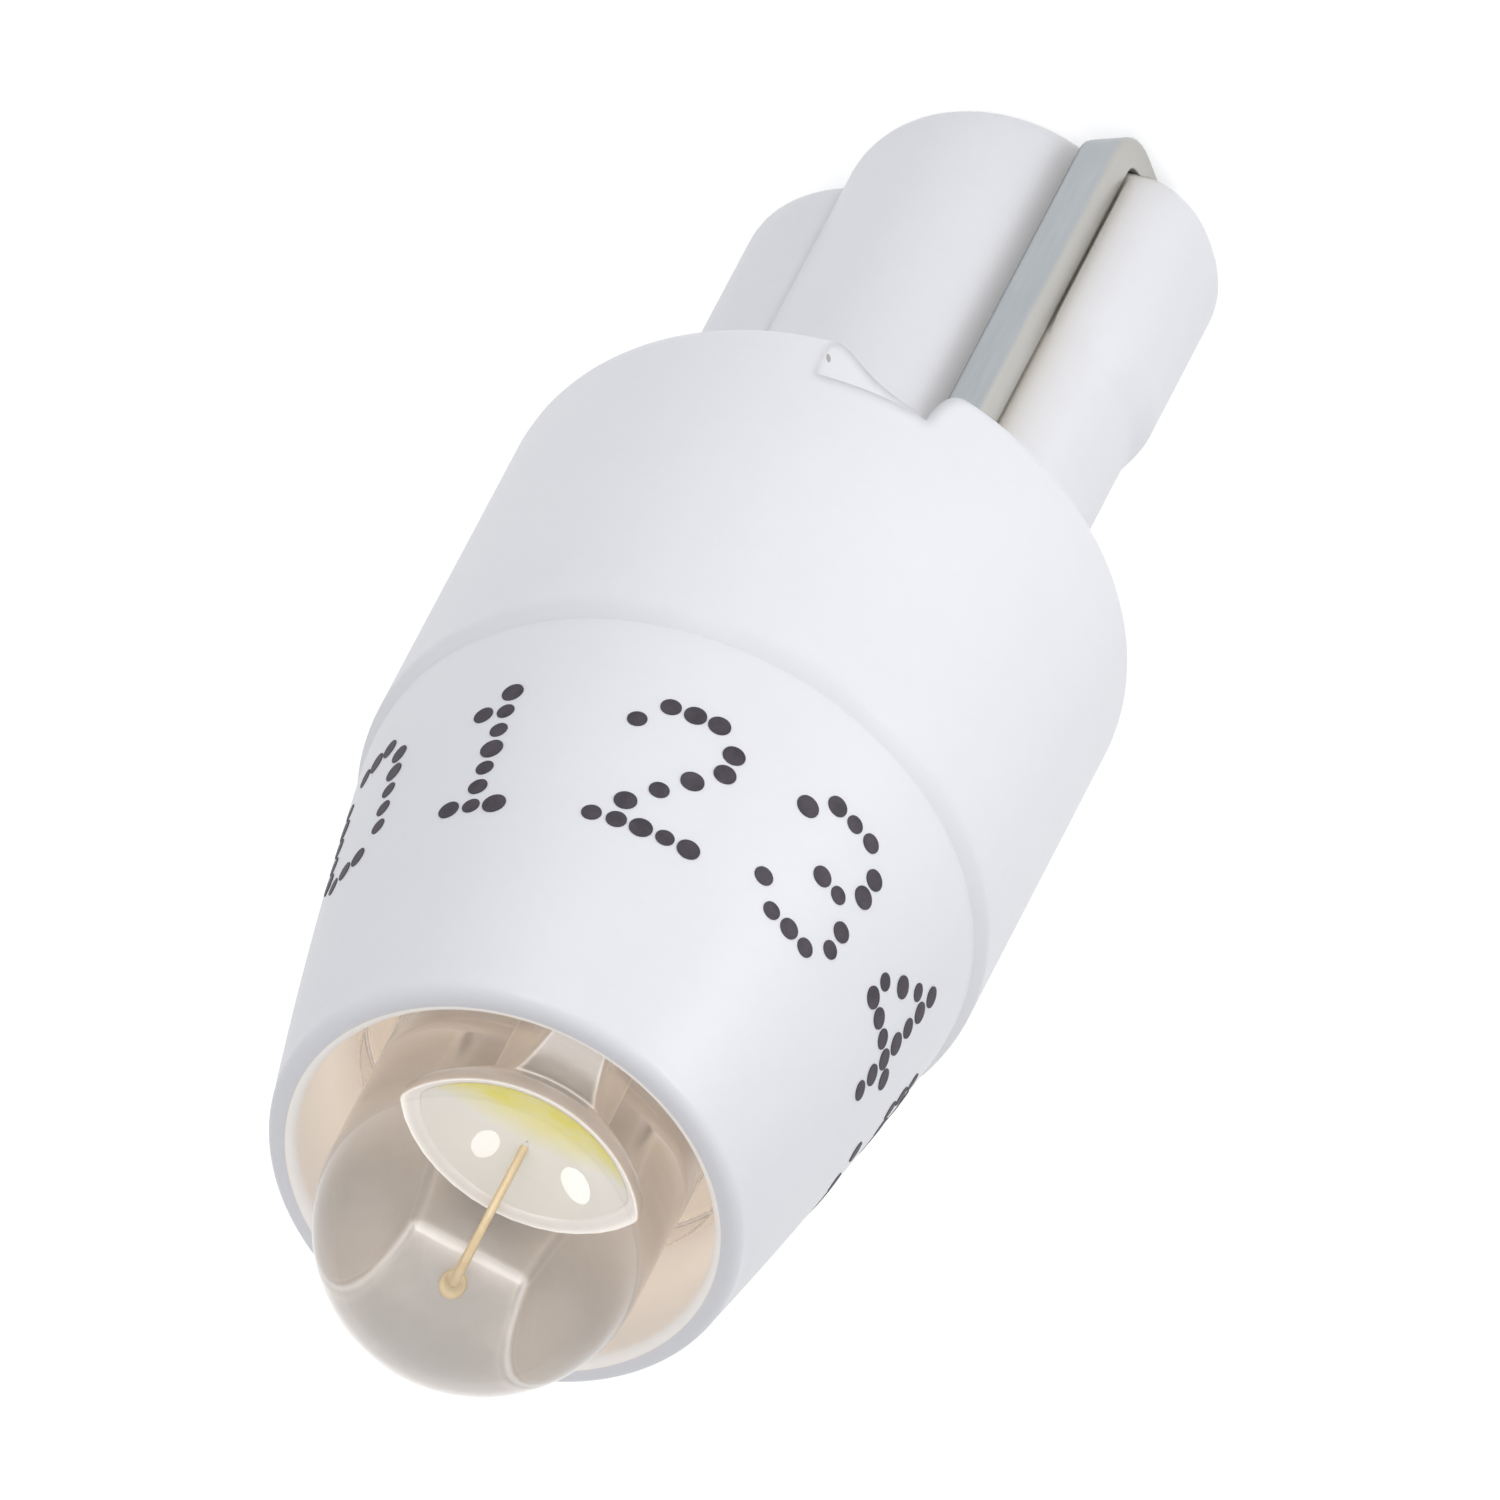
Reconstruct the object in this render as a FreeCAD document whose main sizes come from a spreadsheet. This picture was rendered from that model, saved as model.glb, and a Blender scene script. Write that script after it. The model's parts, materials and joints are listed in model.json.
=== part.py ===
import FreeCAD, Part
import math
import os
import Sketcher

# Wedge base lamp with one 3 mm round light emitting diode.
# Frame: origin at the centre of the base end, +Z towards the diode, +X along the wings.
# All sizes are in millimetres and degrees.

SIZES = [
    ("wing_width", 4.6, "across the two wings"),
    ("wing_plate", 1.84, "thickness of the wings"),
    ("wing_edge_round", 0.8, "rounding of the wings' long edges"),
    ("wing_corner_round", 0.9, "rounding of the wings' end corners"),
    ("neck_inset", 0.12, "how much each wing narrows behind the catch"),
    ("neck_start", 2.7, "height where the wing starts to narrow"),
    ("neck_run", 0.25, "length of the slope into the neck"),
    ("barrel_radius", 1.49, "round core between the wings"),
    ("barrel_end_round", 0.4, "rounding of the core's end"),
    ("core_bore_radius", 0.85, "blind bore inside the core"),
    ("core_end_wall", 0.9, "wall that closes the core at the base end"),
    ("shoulder_height", 5.36, "base end to the shoulder"),
    ("shoulder_round", 0.35, "rounding of the shoulder's rim"),
    ("body_radius", 3.0, "outside of the tube"),
    ("bevel_drop", 0.09, "radial drop of the tube's front bevel"),
    ("bevel_run", 0.17, "length of the tube's front bevel"),
    ("tube_wall", 0.5, "wall of the tube round the nose's spigot"),
    ("ledge_width", 0.25, "step in the bore that carries the board"),
    ("floor_plate", 0.94, "floor between the shoulder and the cavity"),
    ("cavity_depth", 1.9, "depth of the cavity behind the board"),
    ("socket_depth", 1.6, "length of the tube in front of the ledge"),
    ("scoop_radius", 1.38, "radius of the scoop in the shoulder's rim"),
    ("scoop_offset", 0.76, "distance of the scoop's centre outside the tube"),
    ("scoop_side", 0.16, "flat side of the scoop from its own middle plane"),
    ("scoop_shift", 0.1, "sideways shift of the scoop's centre"),
    ("scoop_depth", 0.7, "depth of the scoop along the axis"),
    ("scoop_turn", -40.0, "angle of the scoop about the axis"),
    ("strip_width", 0.43, "width of a contact strip"),
    ("strip_plate", 0.3, "thickness of a contact strip"),
    ("strip_inset", 0.57, "distance of a strip's middle from the spigot's bore"),
    ("contact_span", 2.36, "over the two strips' outer faces"),
    ("strip_recess", 0.12, "depth of a strip's bend below the base end's face"),
    ("strip_tuck", 0.4, "length of a strip's end inside the shoulder"),
    ("strip_bend", 0.45, "outer radius of a strip's bends"),
    ("strip_leg_place", 0.1, "distance of a strip's inner leg from the middle plane"),
    ("strip_leg_above_board", 0.35, "length of a strip's leg in front of the board"),
    ("fit_gap", 0.02, "clearance round the strips, leads and board"),
    ("board_plate", 0.5, "thickness of the driver board"),
    ("spigot_wall", 0.4, "wall of the nose's spigot"),
    ("spigot_gap", 0.03, "clearance of the nose's spigot in the tube"),
    ("nose_step", 0.07, "how much smaller the nose is than the tube at the seam"),
    ("nose_narrowing", 0.68, "how much the nose narrows to its lip"),
    ("nose_bow", 0.038, "how far the nose's middle stands out of a straight taper"),
    ("nose_length", 4.62, "seam to the nose's front"),
    ("lip_round", 0.14, "rounding of the lip's outer edge"),
    ("mouth_round", 0.12, "rounding of the mouth's edge"),
    ("mouth_lip", 0.28, "wall of the nose at its lip"),
    ("seat_width", 0.35, "width of the seat behind the diode's flange"),
    ("seat_wall", 0.45, "thickness of the seat behind the flange"),
    ("dome_reach", 2.08, "how far the dome stands out of the nose"),
    ("flange_rim", 0.37, "how far the diode's flange stands out from its clear body"),
    ("flange_play", 0.07, "play of the diode's flange in the mouth"),
    ("flange_plate", 0.95, "thickness of the diode's flange"),
    ("flange_depth", 2.37, "depth of the flange's back inside the nose"),
    ("flange_cut", 0.3, "depth of the flange's flat"),
    ("led_turn", 230.0, "angle of the diode's leads about the axis"),
    ("lead_inset", 0.35, "distance of a lead's middle from the seat's edge"),
    ("lead_thickness", 0.5, "square section of the diode's leads"),
    ("lead_below_board", 0.4, "length of the leads behind the board"),
    ("post_rise", 0.5, "height above the flange's back where the posts widen"),
    ("post_flare", 0.3, "height over which the posts widen"),
    ("anvil_width", 1.1, "width of the anvil under the cup"),
    ("anvil_waist", 0.3, "distance of the anvil's inner edge past the axis"),
    ("anvil_shoulder", 0.55, "depth of the anvil's head below the cup's rim"),
    ("cup_setback", 2.28, "distance of the cup's rim behind the dome's tip"),
    ("post_above_cup", 0.08, "how far the anode post stands above the cup"),
    ("post_gap", 0.16, "gap between the cup and the anode post"),
    ("post_cover", 0.13, "resin outside both posts"),
    ("cup_radius", 0.62, "outside of the reflector cup"),
    ("cup_mouth", 0.54, "mouth radius of the reflector"),
    ("cup_floor", 0.24, "floor radius of the reflector"),
    ("cup_depth", 0.3, "depth of the reflector"),
    ("cup_wall", 0.12, "metal under the reflector's floor"),
    ("chip_side", 0.24, "side of the light emitting chip"),
    ("chip_height", 0.1, "height of the chip"),
    ("phosphor_crown", 0.06, "height of the phosphor above the cup"),
    ("wire_half", 0.018, "half the side of the bond wire"),
    ("resistor_length", 1.0, "chip resistor"),
    ("resistor_width", 0.5, "chip resistor"),
    ("resistor_height", 0.35, "chip resistor"),
    ("resistor_cap", 0.22, "length of a resistor's end cap"),
    ("resistor_clear", 0.03, "gap between a resistor's pad and the spigot's bore"),
    ("diode_length", 1.0, "moulded body of the series diode"),
    ("diode_width", 0.6, "moulded body of the series diode"),
    ("diode_height", 0.5, "moulded body of the series diode"),
    ("diode_lead_width", 0.3, "width of the series diode's leads"),
    ("diode_lead_plate", 0.12, "thickness of the series diode's leads"),
    ("diode_lead_reach", 0.26, "reach of the series diode's leads"),
    ("pad_plate", 0.04, "thickness of the board's copper"),
    ("solder_radius", 0.42, "foot radius of a solder joint"),
    ("solder_height", 0.26, "height of a solder joint"),
    ("solder_top", 0.34, "top radius of a solder joint"),
]

NODES = []
ARC_CENTRES = []


class Term:
    """A size that carries its value and the expression that gives it."""

    def __init__(self, value, text):
        self.value = value
        self.text = text

    def join(self, other, sign, value):
        text = other.text if isinstance(other, Term) else repr(float(other))
        return Term(value, "(" + self.text + " " + sign + " " + text + ")")

    def __add__(self, other):
        return self.join(other, "+", self.value + number(other))

    def __sub__(self, other):
        return self.join(other, "-", self.value - number(other))

    def __mul__(self, other):
        return self.join(other, "*", self.value * number(other))

    def __truediv__(self, other):
        return self.join(other, "/", self.value / number(other))

    def __neg__(self):
        return Term(-self.value, "(0 - " + self.text + ")")

    def square(self):
        return self * self

    def root(self):
        return Term(math.sqrt(self.value), "sqrt(" + self.text + ")")


def number(term):
    return term.value if isinstance(term, Term) else float(term)


class Sizes:
    """Reads each size of the sheet as a Term of the same name."""

    def __init__(self, sheet):
        for alias, _, _ in SIZES:
            setattr(self, alias, Term(float(sheet.get(alias)), "sizes." + alias))


doc = FreeCAD.newDocument("wedge_base_lamp")
sheet = doc.addObject("Spreadsheet::Sheet", "sizes")
for row, (alias, amount, note) in enumerate(SIZES, start=1):
    sheet.set("A%d" % row, alias)
    sheet.set("B%d" % row, str(amount))
    sheet.set("C%d" % row, note)
    sheet.setAlias("B%d" % row, alias)
doc.recompute()
d = Sizes(sheet)


def bind(feature, prop, term):
    feature.setExpression(prop, term.text)


def new_body(label):
    body = doc.addObject("PartDesign::Body", label + "_body")
    body.Label = label
    NODES.append(body)
    return body


def new_sketch(body, name, role, rise=None, turn=None):
    """A sketch on one of the body's origin planes, lifted and turned where a size asks for it."""
    sketch = body.newObject("Sketcher::SketchObject", name)
    plane = [f for f in body.Origin.OriginFeatures if f.Role == role][0]
    sketch.AttachmentSupport = [(plane, "")]
    sketch.MapMode = "FlatFace"
    if rise is not None:
        bind(sketch, "AttachmentOffset.Base.z", rise)
    if turn is not None:
        bind(sketch, "AttachmentOffset.Rotation.Angle", turn)
    return sketch


def point_of(corner):
    return FreeCAD.Vector(number(corner[0]), number(corner[1]), 0)


def arc_through(start, end, radius, left):
    """An arc of a known radius between two points, bulging to the left or the right of the chord."""
    chord = end - start
    height = math.sqrt(max(radius * radius - chord.Length ** 2 / 4, 0))
    normal = FreeCAD.Vector(-chord.y, chord.x, 0).normalize()
    centre = (start + end) * 0.5 + normal * (-height if left else height)
    first, last = (end, start) if left else (start, end)
    begins = math.atan2(first.y - centre.y, first.x - centre.x)
    ends = math.atan2(last.y - centre.y, last.x - centre.x)
    if ends < begins:
        ends += 2 * math.pi
    return Part.ArcOfCircle(Part.Circle(centre, FreeCAD.Vector(0, 0, 1), radius), begins, ends)


def pin(sketch, curve, place, corner):
    """Holds one end of a curve at its two coordinates."""
    for kind, term in (("DistanceX", corner[0]), ("DistanceY", corner[1])):
        if isinstance(term, Term) and term.text != "0":
            index = sketch.addConstraint(Sketcher.Constraint(kind, -1, 1, curve, place, term.value))
            sketch.setExpression("Constraints[%d]" % index, term.text)
        else:
            axis = -2 if kind == "DistanceX" else -1
            sketch.addConstraint(Sketcher.Constraint("PointOnObject", curve, place, axis))


def hold_radius(sketch, curve, radius):
    index = sketch.addConstraint(Sketcher.Constraint("Radius", curve, radius.value))
    sketch.setExpression("Constraints[%d]" % index, radius.text)


def outline(sketch, corners):
    """A closed outline through corners (x, y), or (x, y, radius, left) where an arc leads to it."""
    count = len(corners)
    bends = []
    for index in range(count):
        first = corners[index]
        last = corners[(index + 1) % count]
        if len(last) > 2:
            arc = arc_through(point_of(first), point_of(last), last[2].value, last[3])
            curve = sketch.addGeometry(arc, False)
            bends.append((curve, last[2]))
            ARC_CENTRES.append((sketch, curve, sketch.Geometry[curve].Center))
        else:
            sketch.addGeometry(Part.LineSegment(point_of(first), point_of(last)), False)
    start_place = [1] * count
    end_place = [2] * count
    for index in range(count):
        curve = sketch.Geometry[index]
        if curve.TypeId == "Part::GeomArcOfCircle":
            wanted = point_of(corners[index])
            if curve.StartPoint.distanceToPoint(wanted) > curve.EndPoint.distanceToPoint(wanted):
                start_place[index] = 2
                end_place[index] = 1
    for index in range(count):
        following = (index + 1) % count
        sketch.addConstraint(Sketcher.Constraint("Coincident", index, end_place[index],
                                                 following, start_place[following]))
    for index in range(count):
        pin(sketch, index, start_place[index], corners[index])
    for curve, radius in bends:
        hold_radius(sketch, curve, radius)


def revolve(body, sketch, name, groove=False):
    kind = "PartDesign::Groove" if groove else "PartDesign::Revolution"
    feature = body.newObject(kind, name)
    feature.Profile = sketch
    feature.ReferenceAxis = (sketch, ["V_Axis"])
    feature.Angle = 360.0
    return feature


def pad(body, sketch, name, length, middle=False):
    feature = body.newObject("PartDesign::Pad", name)
    feature.Profile = sketch
    feature.Midplane = middle
    bind(feature, "Length", length)
    return feature


def pocket(body, sketch, name, length, backwards=False):
    """Cuts a pocket and makes sure that it takes material away."""
    doc.recompute()
    before = body.Shape.Volume
    feature = body.newObject("PartDesign::Pocket", name)
    feature.Profile = sketch
    feature.Reversed = backwards
    bind(feature, "Length", length)
    doc.recompute()
    if body.Shape.Volume > before - 1e-6:
        raise ValueError(name + " cuts nothing")
    return feature


def fillet(body, name, radius, wanted):
    """Rounds the edges of the body's last feature that the test picks."""
    doc.recompute()
    base = body.Tip
    names = ["Edge%d" % (i + 1) for i, edge in enumerate(base.Shape.Edges) if wanted(edge)]
    if not names:
        raise ValueError(name + " finds no edge")
    feature = body.newObject("PartDesign::Fillet", name)
    feature.Base = (base, names)
    bind(feature, "Radius", radius)
    doc.recompute()
    return feature


def half_turn(body, name, features):
    """Repeats features once more, half a turn round the body's axis."""
    pattern = body.newObject("PartDesign::PolarPattern", name)
    pattern.Originals = features
    axis = [f for f in body.Origin.OriginFeatures if f.Role == "Z_Axis"][0]
    pattern.Axis = (axis, [""])
    pattern.Angle = 360.0
    pattern.Occurrences = 2
    body.Tip = pattern
    doc.recompute()
    return pattern


def rectangle(sketch, left, right, low, high):
    outline(sketch, [(left, low), (right, low), (right, high), (left, high)])


def round_outline(sketch, across, along, radius):
    """A full circle of a given radius about a point."""
    centre = FreeCAD.Vector(number(across), number(along), 0)
    circle = sketch.addGeometry(Part.Circle(centre, FreeCAD.Vector(0, 0, 1), radius.value), False)
    pin(sketch, circle, 3, (across, along))
    hold_radius(sketch, circle, radius)


def turn_with_led(body):
    """Turns a piece about the axis with the diode's leads."""
    bind(body, "Placement.Rotation.Angle", d.led_turn)


def block(body, left, right, near, far, low, high, name="block"):
    """A plain block between three pairs of limits."""
    sketch = new_sketch(body, name + "_outline", "XY_Plane", rise=low)
    rectangle(sketch, left, right, near, far)
    pad(body, sketch, name, high - low)


def through_slot(body, name, left, right, near, far, low, high):
    """A slot through a flat piece, cut upwards from below it."""
    sketch = new_sketch(body, name + "_outline", "XY_Plane", rise=low - d.fit_gap)
    rectangle(sketch, left, right, near, far)
    return pocket(body, sketch, name, high - low + d.fit_gap * 2, backwards=True)


def cut_from(label, body, tools):
    """The piece that is left when its neighbours' space is taken out of a body."""
    NODES.remove(body)
    body.Label = label + "_whole"
    if len(tools) > 1:
        tool = doc.addObject("Part::MultiFuse", label + "_space")
        tool.Shapes = tools
    else:
        tool = tools[0]
    rest = doc.addObject("Part::Cut", label + "_piece")
    rest.Base = body
    rest.Tool = tool
    rest.Label = label
    NODES.append(rest)
    return rest


ZERO = Term(0.0, "0")

# Heights and places that several pieces share
tube_bore = d.body_radius - d.tube_wall
cavity_radius = tube_bore - d.ledge_width
cavity_floor = d.shoulder_height + d.floor_plate
ledge_height = cavity_floor + d.cavity_depth
tube_front = ledge_height + d.socket_depth
scoop_reach = d.body_radius + d.scoop_offset
nose_root = d.body_radius - d.nose_step
nose_front_radius = nose_root - d.nose_narrowing
nose_front = tube_front + d.nose_length
mouth_radius = nose_front_radius - d.mouth_lip
seat_radius = mouth_radius - d.seat_width
flange_back = nose_front - d.flange_depth
flange_radius = mouth_radius - d.flange_play
flange_flat = flange_radius - d.flange_cut
lens_radius = flange_radius - d.flange_rim
lens_tip = nose_front + d.dome_reach
post_root = flange_back + d.post_rise
cup_rim = lens_tip - d.cup_setback
post_top = cup_rim + d.post_above_cup
board_radius = tube_bore - d.fit_gap
spigot_radius = tube_bore - d.spigot_gap
spigot_bore = spigot_radius - d.spigot_wall
strip_place = spigot_bore - d.strip_inset
resistor_corner = ((spigot_bore - d.resistor_clear).square() / 2).root()
resistor_out = resistor_corner - (d.resistor_length + d.resistor_cap) / 2
resistor_side = resistor_corner - d.resistor_width / 2
contact_face = d.contact_span / 2
strip_inner_face = contact_face - d.strip_plate
strip_left = strip_place - d.strip_width / 2
strip_right = strip_place + d.strip_width / 2
leg_near = d.strip_plate / 2 - d.strip_leg_place
leg_far = leg_near - d.strip_plate
board_front = ledge_height + d.board_plate
copper_front = board_front + d.pad_plate
copper_back = ledge_height - d.pad_plate
strip_leg_top = board_front + d.strip_leg_above_board
strip_end = d.shoulder_height + d.strip_tuck
spigot_end = board_front + d.fit_gap
lens_centre = lens_tip - lens_radius
flange_front = flange_back + d.flange_plate
lead_place = seat_radius - d.lead_inset
lead_half = d.lead_thickness / 2
lead_tip = ledge_height - d.lead_below_board
post_full = post_root + d.post_flare
cup_floor_height = cup_rim - d.cup_depth
chip_top = cup_floor_height + d.chip_height
post_inner = d.cup_radius + d.post_gap
post_outer = lens_radius - d.post_cover
wire_foot = (post_inner * 3 + post_outer) / 4


def make_base_housing():
    """The rear moulding: wedge wings, round core, shoulder and tube in one piece."""
    body = new_body("base_housing")
    half = d.wing_width / 2
    inset = half - d.neck_inset
    corner = d.wing_corner_round
    neck_end = d.neck_start + d.neck_run
    wing_end = d.shoulder_height + d.shoulder_round
    wings = new_sketch(body, "wing_outline", "XZ_Plane")
    outline(wings, [
        (corner - half, ZERO, corner, False),
        (half - corner, ZERO),
        (half, corner, corner, False),
        (half, d.neck_start),
        (inset, neck_end),
        (inset, wing_end),
        (-inset, wing_end),
        (-inset, neck_end),
        (-half, d.neck_start),
        (-half, corner),
    ])
    pad(body, wings, "wings", d.wing_plate, middle=True)
    face = d.wing_plate.value / 2
    top = wing_end.value

    def on_outline(edge):
        box = edge.BoundBox
        flat = abs(abs(box.YMin) - face) < 1e-4 and box.YLength < 1e-4
        return flat and not (abs(box.ZMin - top) < 1e-4)

    fillet(body, "wing_edges", d.wing_edge_round, on_outline)

    turning = new_sketch(body, "turned_outline", "XZ_Plane")
    outline(turning, [
        (ZERO, ZERO),
        (d.barrel_radius - d.barrel_end_round, ZERO),
        (d.barrel_radius, d.barrel_end_round, d.barrel_end_round, False),
        (d.barrel_radius, d.shoulder_height),
        (d.body_radius - d.shoulder_round, d.shoulder_height),
        (d.body_radius, d.shoulder_height + d.shoulder_round, d.shoulder_round, False),
        (d.body_radius, tube_front - d.bevel_run),
        (d.body_radius - d.bevel_drop, tube_front),
        (tube_bore, tube_front),
        (tube_bore, ledge_height),
        (cavity_radius, ledge_height),
        (cavity_radius, cavity_floor),
        (ZERO, cavity_floor),
    ])
    revolve(body, turning, "core_and_tube")

    bore = new_sketch(body, "core_bore_outline", "XY_Plane", rise=d.core_end_wall)
    round_outline(bore, ZERO, ZERO, d.core_bore_radius)
    pocket(body, bore, "core_bore", cavity_floor - d.core_end_wall + d.fit_gap, backwards=True)

    gap = d.fit_gap
    turn_inside = d.strip_recess + d.strip_plate
    turn_height = d.strip_recess + d.strip_bend
    inner = d.strip_bend - d.strip_plate - gap
    slot = new_sketch(body, "strip_slot_outline", "YZ_Plane", rise=strip_place)
    outline(slot, [
        (leg_far - gap, -d.strip_bend),
        (contact_face + gap, -d.strip_bend),
        (contact_face + gap, strip_end + gap),
        (strip_inner_face - gap, strip_end + gap),
        (strip_inner_face - gap, turn_height),
        (contact_face - d.strip_bend, turn_inside + gap, inner, True),
        (leg_far + d.strip_bend, turn_inside + gap),
        (leg_near + gap, turn_height, inner, True),
        (leg_near + gap, cavity_floor + gap),
        (leg_far - gap, cavity_floor + gap),
    ])
    strip_slot = pocket(body, slot, "strip_slot", d.strip_width + gap * 2)
    strip_slot.Midplane = True
    doc.recompute()
    half_turn(body, "both_strip_slots", [strip_slot])

    scoop = new_sketch(body, "scoop_outline", "XY_Plane", rise=d.shoulder_height - gap, turn=d.scoop_turn)
    drop = (d.scoop_radius.square() - (d.scoop_side - d.scoop_shift).square()).root()
    outline(scoop, [
        (d.scoop_shift - d.scoop_radius, scoop_reach),
        (d.scoop_side, scoop_reach - drop, d.scoop_radius, False),
        (d.scoop_side, scoop_reach),
    ])
    rim_scoop = pocket(body, scoop, "rim_scoop", d.scoop_depth + gap, backwards=True)
    half_turn(body, "both_rim_scoops", [rim_scoop])
    return body


def make_nose_cap():
    """The front moulding: a tapered nose with a rounded mouth, plugged into the tube."""
    body = new_body("nose_cap")
    lip_height = nose_front - d.lip_round
    profile = new_sketch(body, "nose_outline", "XZ_Plane")
    outline(profile, [
        (spigot_bore, spigot_end),
        (spigot_radius, spigot_end),
        (spigot_radius, tube_front),
        (nose_root, tube_front),
        ((nose_root + nose_front_radius) / 2 + d.nose_bow, (tube_front + lip_height) / 2),
        (nose_front_radius, lip_height),
        (nose_front_radius - d.lip_round, nose_front, d.lip_round, False),
        (mouth_radius + d.mouth_round, nose_front),
        (mouth_radius, nose_front - d.mouth_round, d.mouth_round, False),
        (mouth_radius, flange_back),
        (seat_radius, flange_back),
        (seat_radius, flange_back - d.seat_wall),
        (spigot_bore, flange_back - d.seat_wall),
    ])
    revolve(body, profile, "nose")
    return body


def make_contact_strip(label, half_a_turn):
    """A tinned strip bent round the base end: one leg on the wing, one up to the board."""
    body = new_body(label)
    bend = d.strip_bend
    inner = bend - d.strip_plate
    low = d.strip_recess
    turn_height = low + bend
    turn_inside = low + d.strip_plate
    profile = new_sketch(body, "strip_outline", "YZ_Plane", rise=strip_place)
    outline(profile, [
        (contact_face, strip_end),
        (strip_inner_face, strip_end),
        (strip_inner_face, turn_height),
        (contact_face - bend, turn_inside, inner, True),
        (leg_far + bend, turn_inside),
        (leg_near, turn_height, inner, True),
        (leg_near, strip_leg_top),
        (leg_far, strip_leg_top),
        (leg_far, turn_height),
        (leg_far + bend, low, bend, False),
        (contact_face - bend, low),
        (contact_face, turn_height, bend, False),
    ])
    pad(body, profile, "strip", d.strip_width, middle=True)
    if half_a_turn:
        body.Placement = FreeCAD.Placement(FreeCAD.Vector(0, 0, 0), FreeCAD.Rotation(180, 0, 0))
    return body


def make_driver_board():
    """The round board, with slots for the strips' legs and holes for the diode's leads."""
    body = new_body("driver_board")
    disc = new_sketch(body, "board_outline", "XY_Plane", rise=ledge_height)
    round_outline(disc, ZERO, ZERO, board_radius)
    pad(body, disc, "board", d.board_plate)
    gap = d.fit_gap
    slot = through_slot(body, "leg_slot", strip_left - gap, strip_right + gap,
                        leg_far - gap, leg_near + gap, ledge_height, board_front)
    half_turn(body, "both_leg_slots", [slot])
    hole_outline = new_sketch(body, "lead_hole_outline", "XY_Plane", rise=ledge_height - gap, turn=d.led_turn)
    rectangle(hole_outline, lead_place - lead_half - gap, lead_place + lead_half + gap,
              -lead_half - gap, lead_half + gap)
    hole = pocket(body, hole_outline, "lead_hole", d.board_plate + gap * 2, backwards=True)
    half_turn(body, "both_lead_holes", [hole])
    return body


def make_cathode_frame():
    """The lead with the anvil and the reflector cup, pressed from one plate."""
    body = new_body("led_cathode_frame")
    turn_with_led(body)
    waist_top = cup_rim - d.anvil_shoulder
    head_top = cup_floor_height - d.cup_wall / 2
    head_half = d.anvil_width / 2
    plate = new_sketch(body, "anvil_outline", "XZ_Plane")
    outline(plate, [
        (-lead_place - lead_half, lead_tip),
        (lead_half - lead_place, lead_tip),
        (lead_half - lead_place, post_root),
        (d.anvil_waist, post_full),
        (d.anvil_waist, waist_top - d.cup_wall),
        (head_half, waist_top),
        (head_half, head_top),
        (-head_half, head_top),
        (-post_outer, waist_top),
        (-post_outer, post_root),
        (-lead_place - lead_half, post_root),
    ])
    pad(body, plate, "anvil", d.lead_thickness, middle=True)
    cup = new_sketch(body, "cup_outline", "XZ_Plane")
    cup_base = cup_floor_height - d.cup_wall
    outline(cup, [
        (ZERO, cup_base),
        (d.cup_floor + d.cup_wall, cup_base),
        (d.cup_radius, cup_floor_height + d.cup_wall),
        (d.cup_radius, cup_rim),
        (d.cup_mouth, cup_rim),
        (d.cup_floor, cup_floor_height),
        (ZERO, cup_floor_height),
    ])
    revolve(body, cup, "cup")
    return body


def make_anode_frame():
    """The second lead, whose post takes the bond wire."""
    body = new_body("led_anode_frame")
    turn_with_led(body)
    plate = new_sketch(body, "post_outline", "XZ_Plane")
    outline(plate, [
        (lead_place - lead_half, lead_tip),
        (lead_place + lead_half, lead_tip),
        (lead_place + lead_half, post_root),
        (post_outer, post_root),
        (post_outer, post_top),
        (post_inner, post_top),
        (post_inner, post_full),
        (lead_place - lead_half, post_root),
    ])
    pad(body, plate, "post", d.lead_thickness, middle=True)
    return body


def make_chip():
    body = new_body("led_chip")
    turn_with_led(body)
    half = d.chip_side / 2
    block(body, -half, half, -half, half, cup_floor_height, chip_top)
    return body


def make_bond_wire(post):
    """One arc of gold wire from the chip's face to the post's top, trimmed flush on the post."""
    body = new_body("led_bond_wire")
    turn_with_led(body)
    rise = post_top - chip_top
    radius = (wire_foot.square() + rise.square()) / (wire_foot * 2)
    path = new_sketch(body, "wire_path", "XZ_Plane")
    arc = arc_through(FreeCAD.Vector(0, chip_top.value, 0),
                      FreeCAD.Vector(wire_foot.value, post_top.value, 0), radius.value, True)
    path.addGeometry(arc, False)
    curve = path.Geometry[0]
    ARC_CENTRES.append((path, 0, curve.Center))
    starts_low = abs(curve.StartPoint.x) < abs(curve.EndPoint.x)
    pin(path, 0, 1 if starts_low else 2, (ZERO, chip_top))
    pin(path, 0, 2 if starts_low else 1, (wire_foot, post_top))
    hold_radius(path, 0, radius)
    section = new_sketch(body, "wire_section", "XY_Plane", rise=chip_top)
    half = d.wire_half
    rectangle(section, -half, half, -half, half)
    doc.recompute()
    wire = body.newObject("PartDesign::AdditivePipe", "wire")
    wire.Profile = section
    wire.Spine = (path, ["Edge1"])
    return cut_from("led_bond_wire", body, [post])


def make_phosphor(chip, wire):
    """The yellow fill of the cup, crowned, with the chip and the wire's foot inside it."""
    body = new_body("led_phosphor")
    turn_with_led(body)
    fill = new_sketch(body, "fill_outline", "XZ_Plane")
    crown = (d.cup_mouth.square() + d.phosphor_crown.square()) / (d.phosphor_crown * 2)
    outline(fill, [
        (ZERO, cup_floor_height),
        (d.cup_floor, cup_floor_height),
        (d.cup_mouth, cup_rim),
        (ZERO, cup_rim + d.phosphor_crown, crown, False),
    ])
    revolve(body, fill, "fill")
    return cut_from("led_phosphor", body, [chip, wire])


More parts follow.
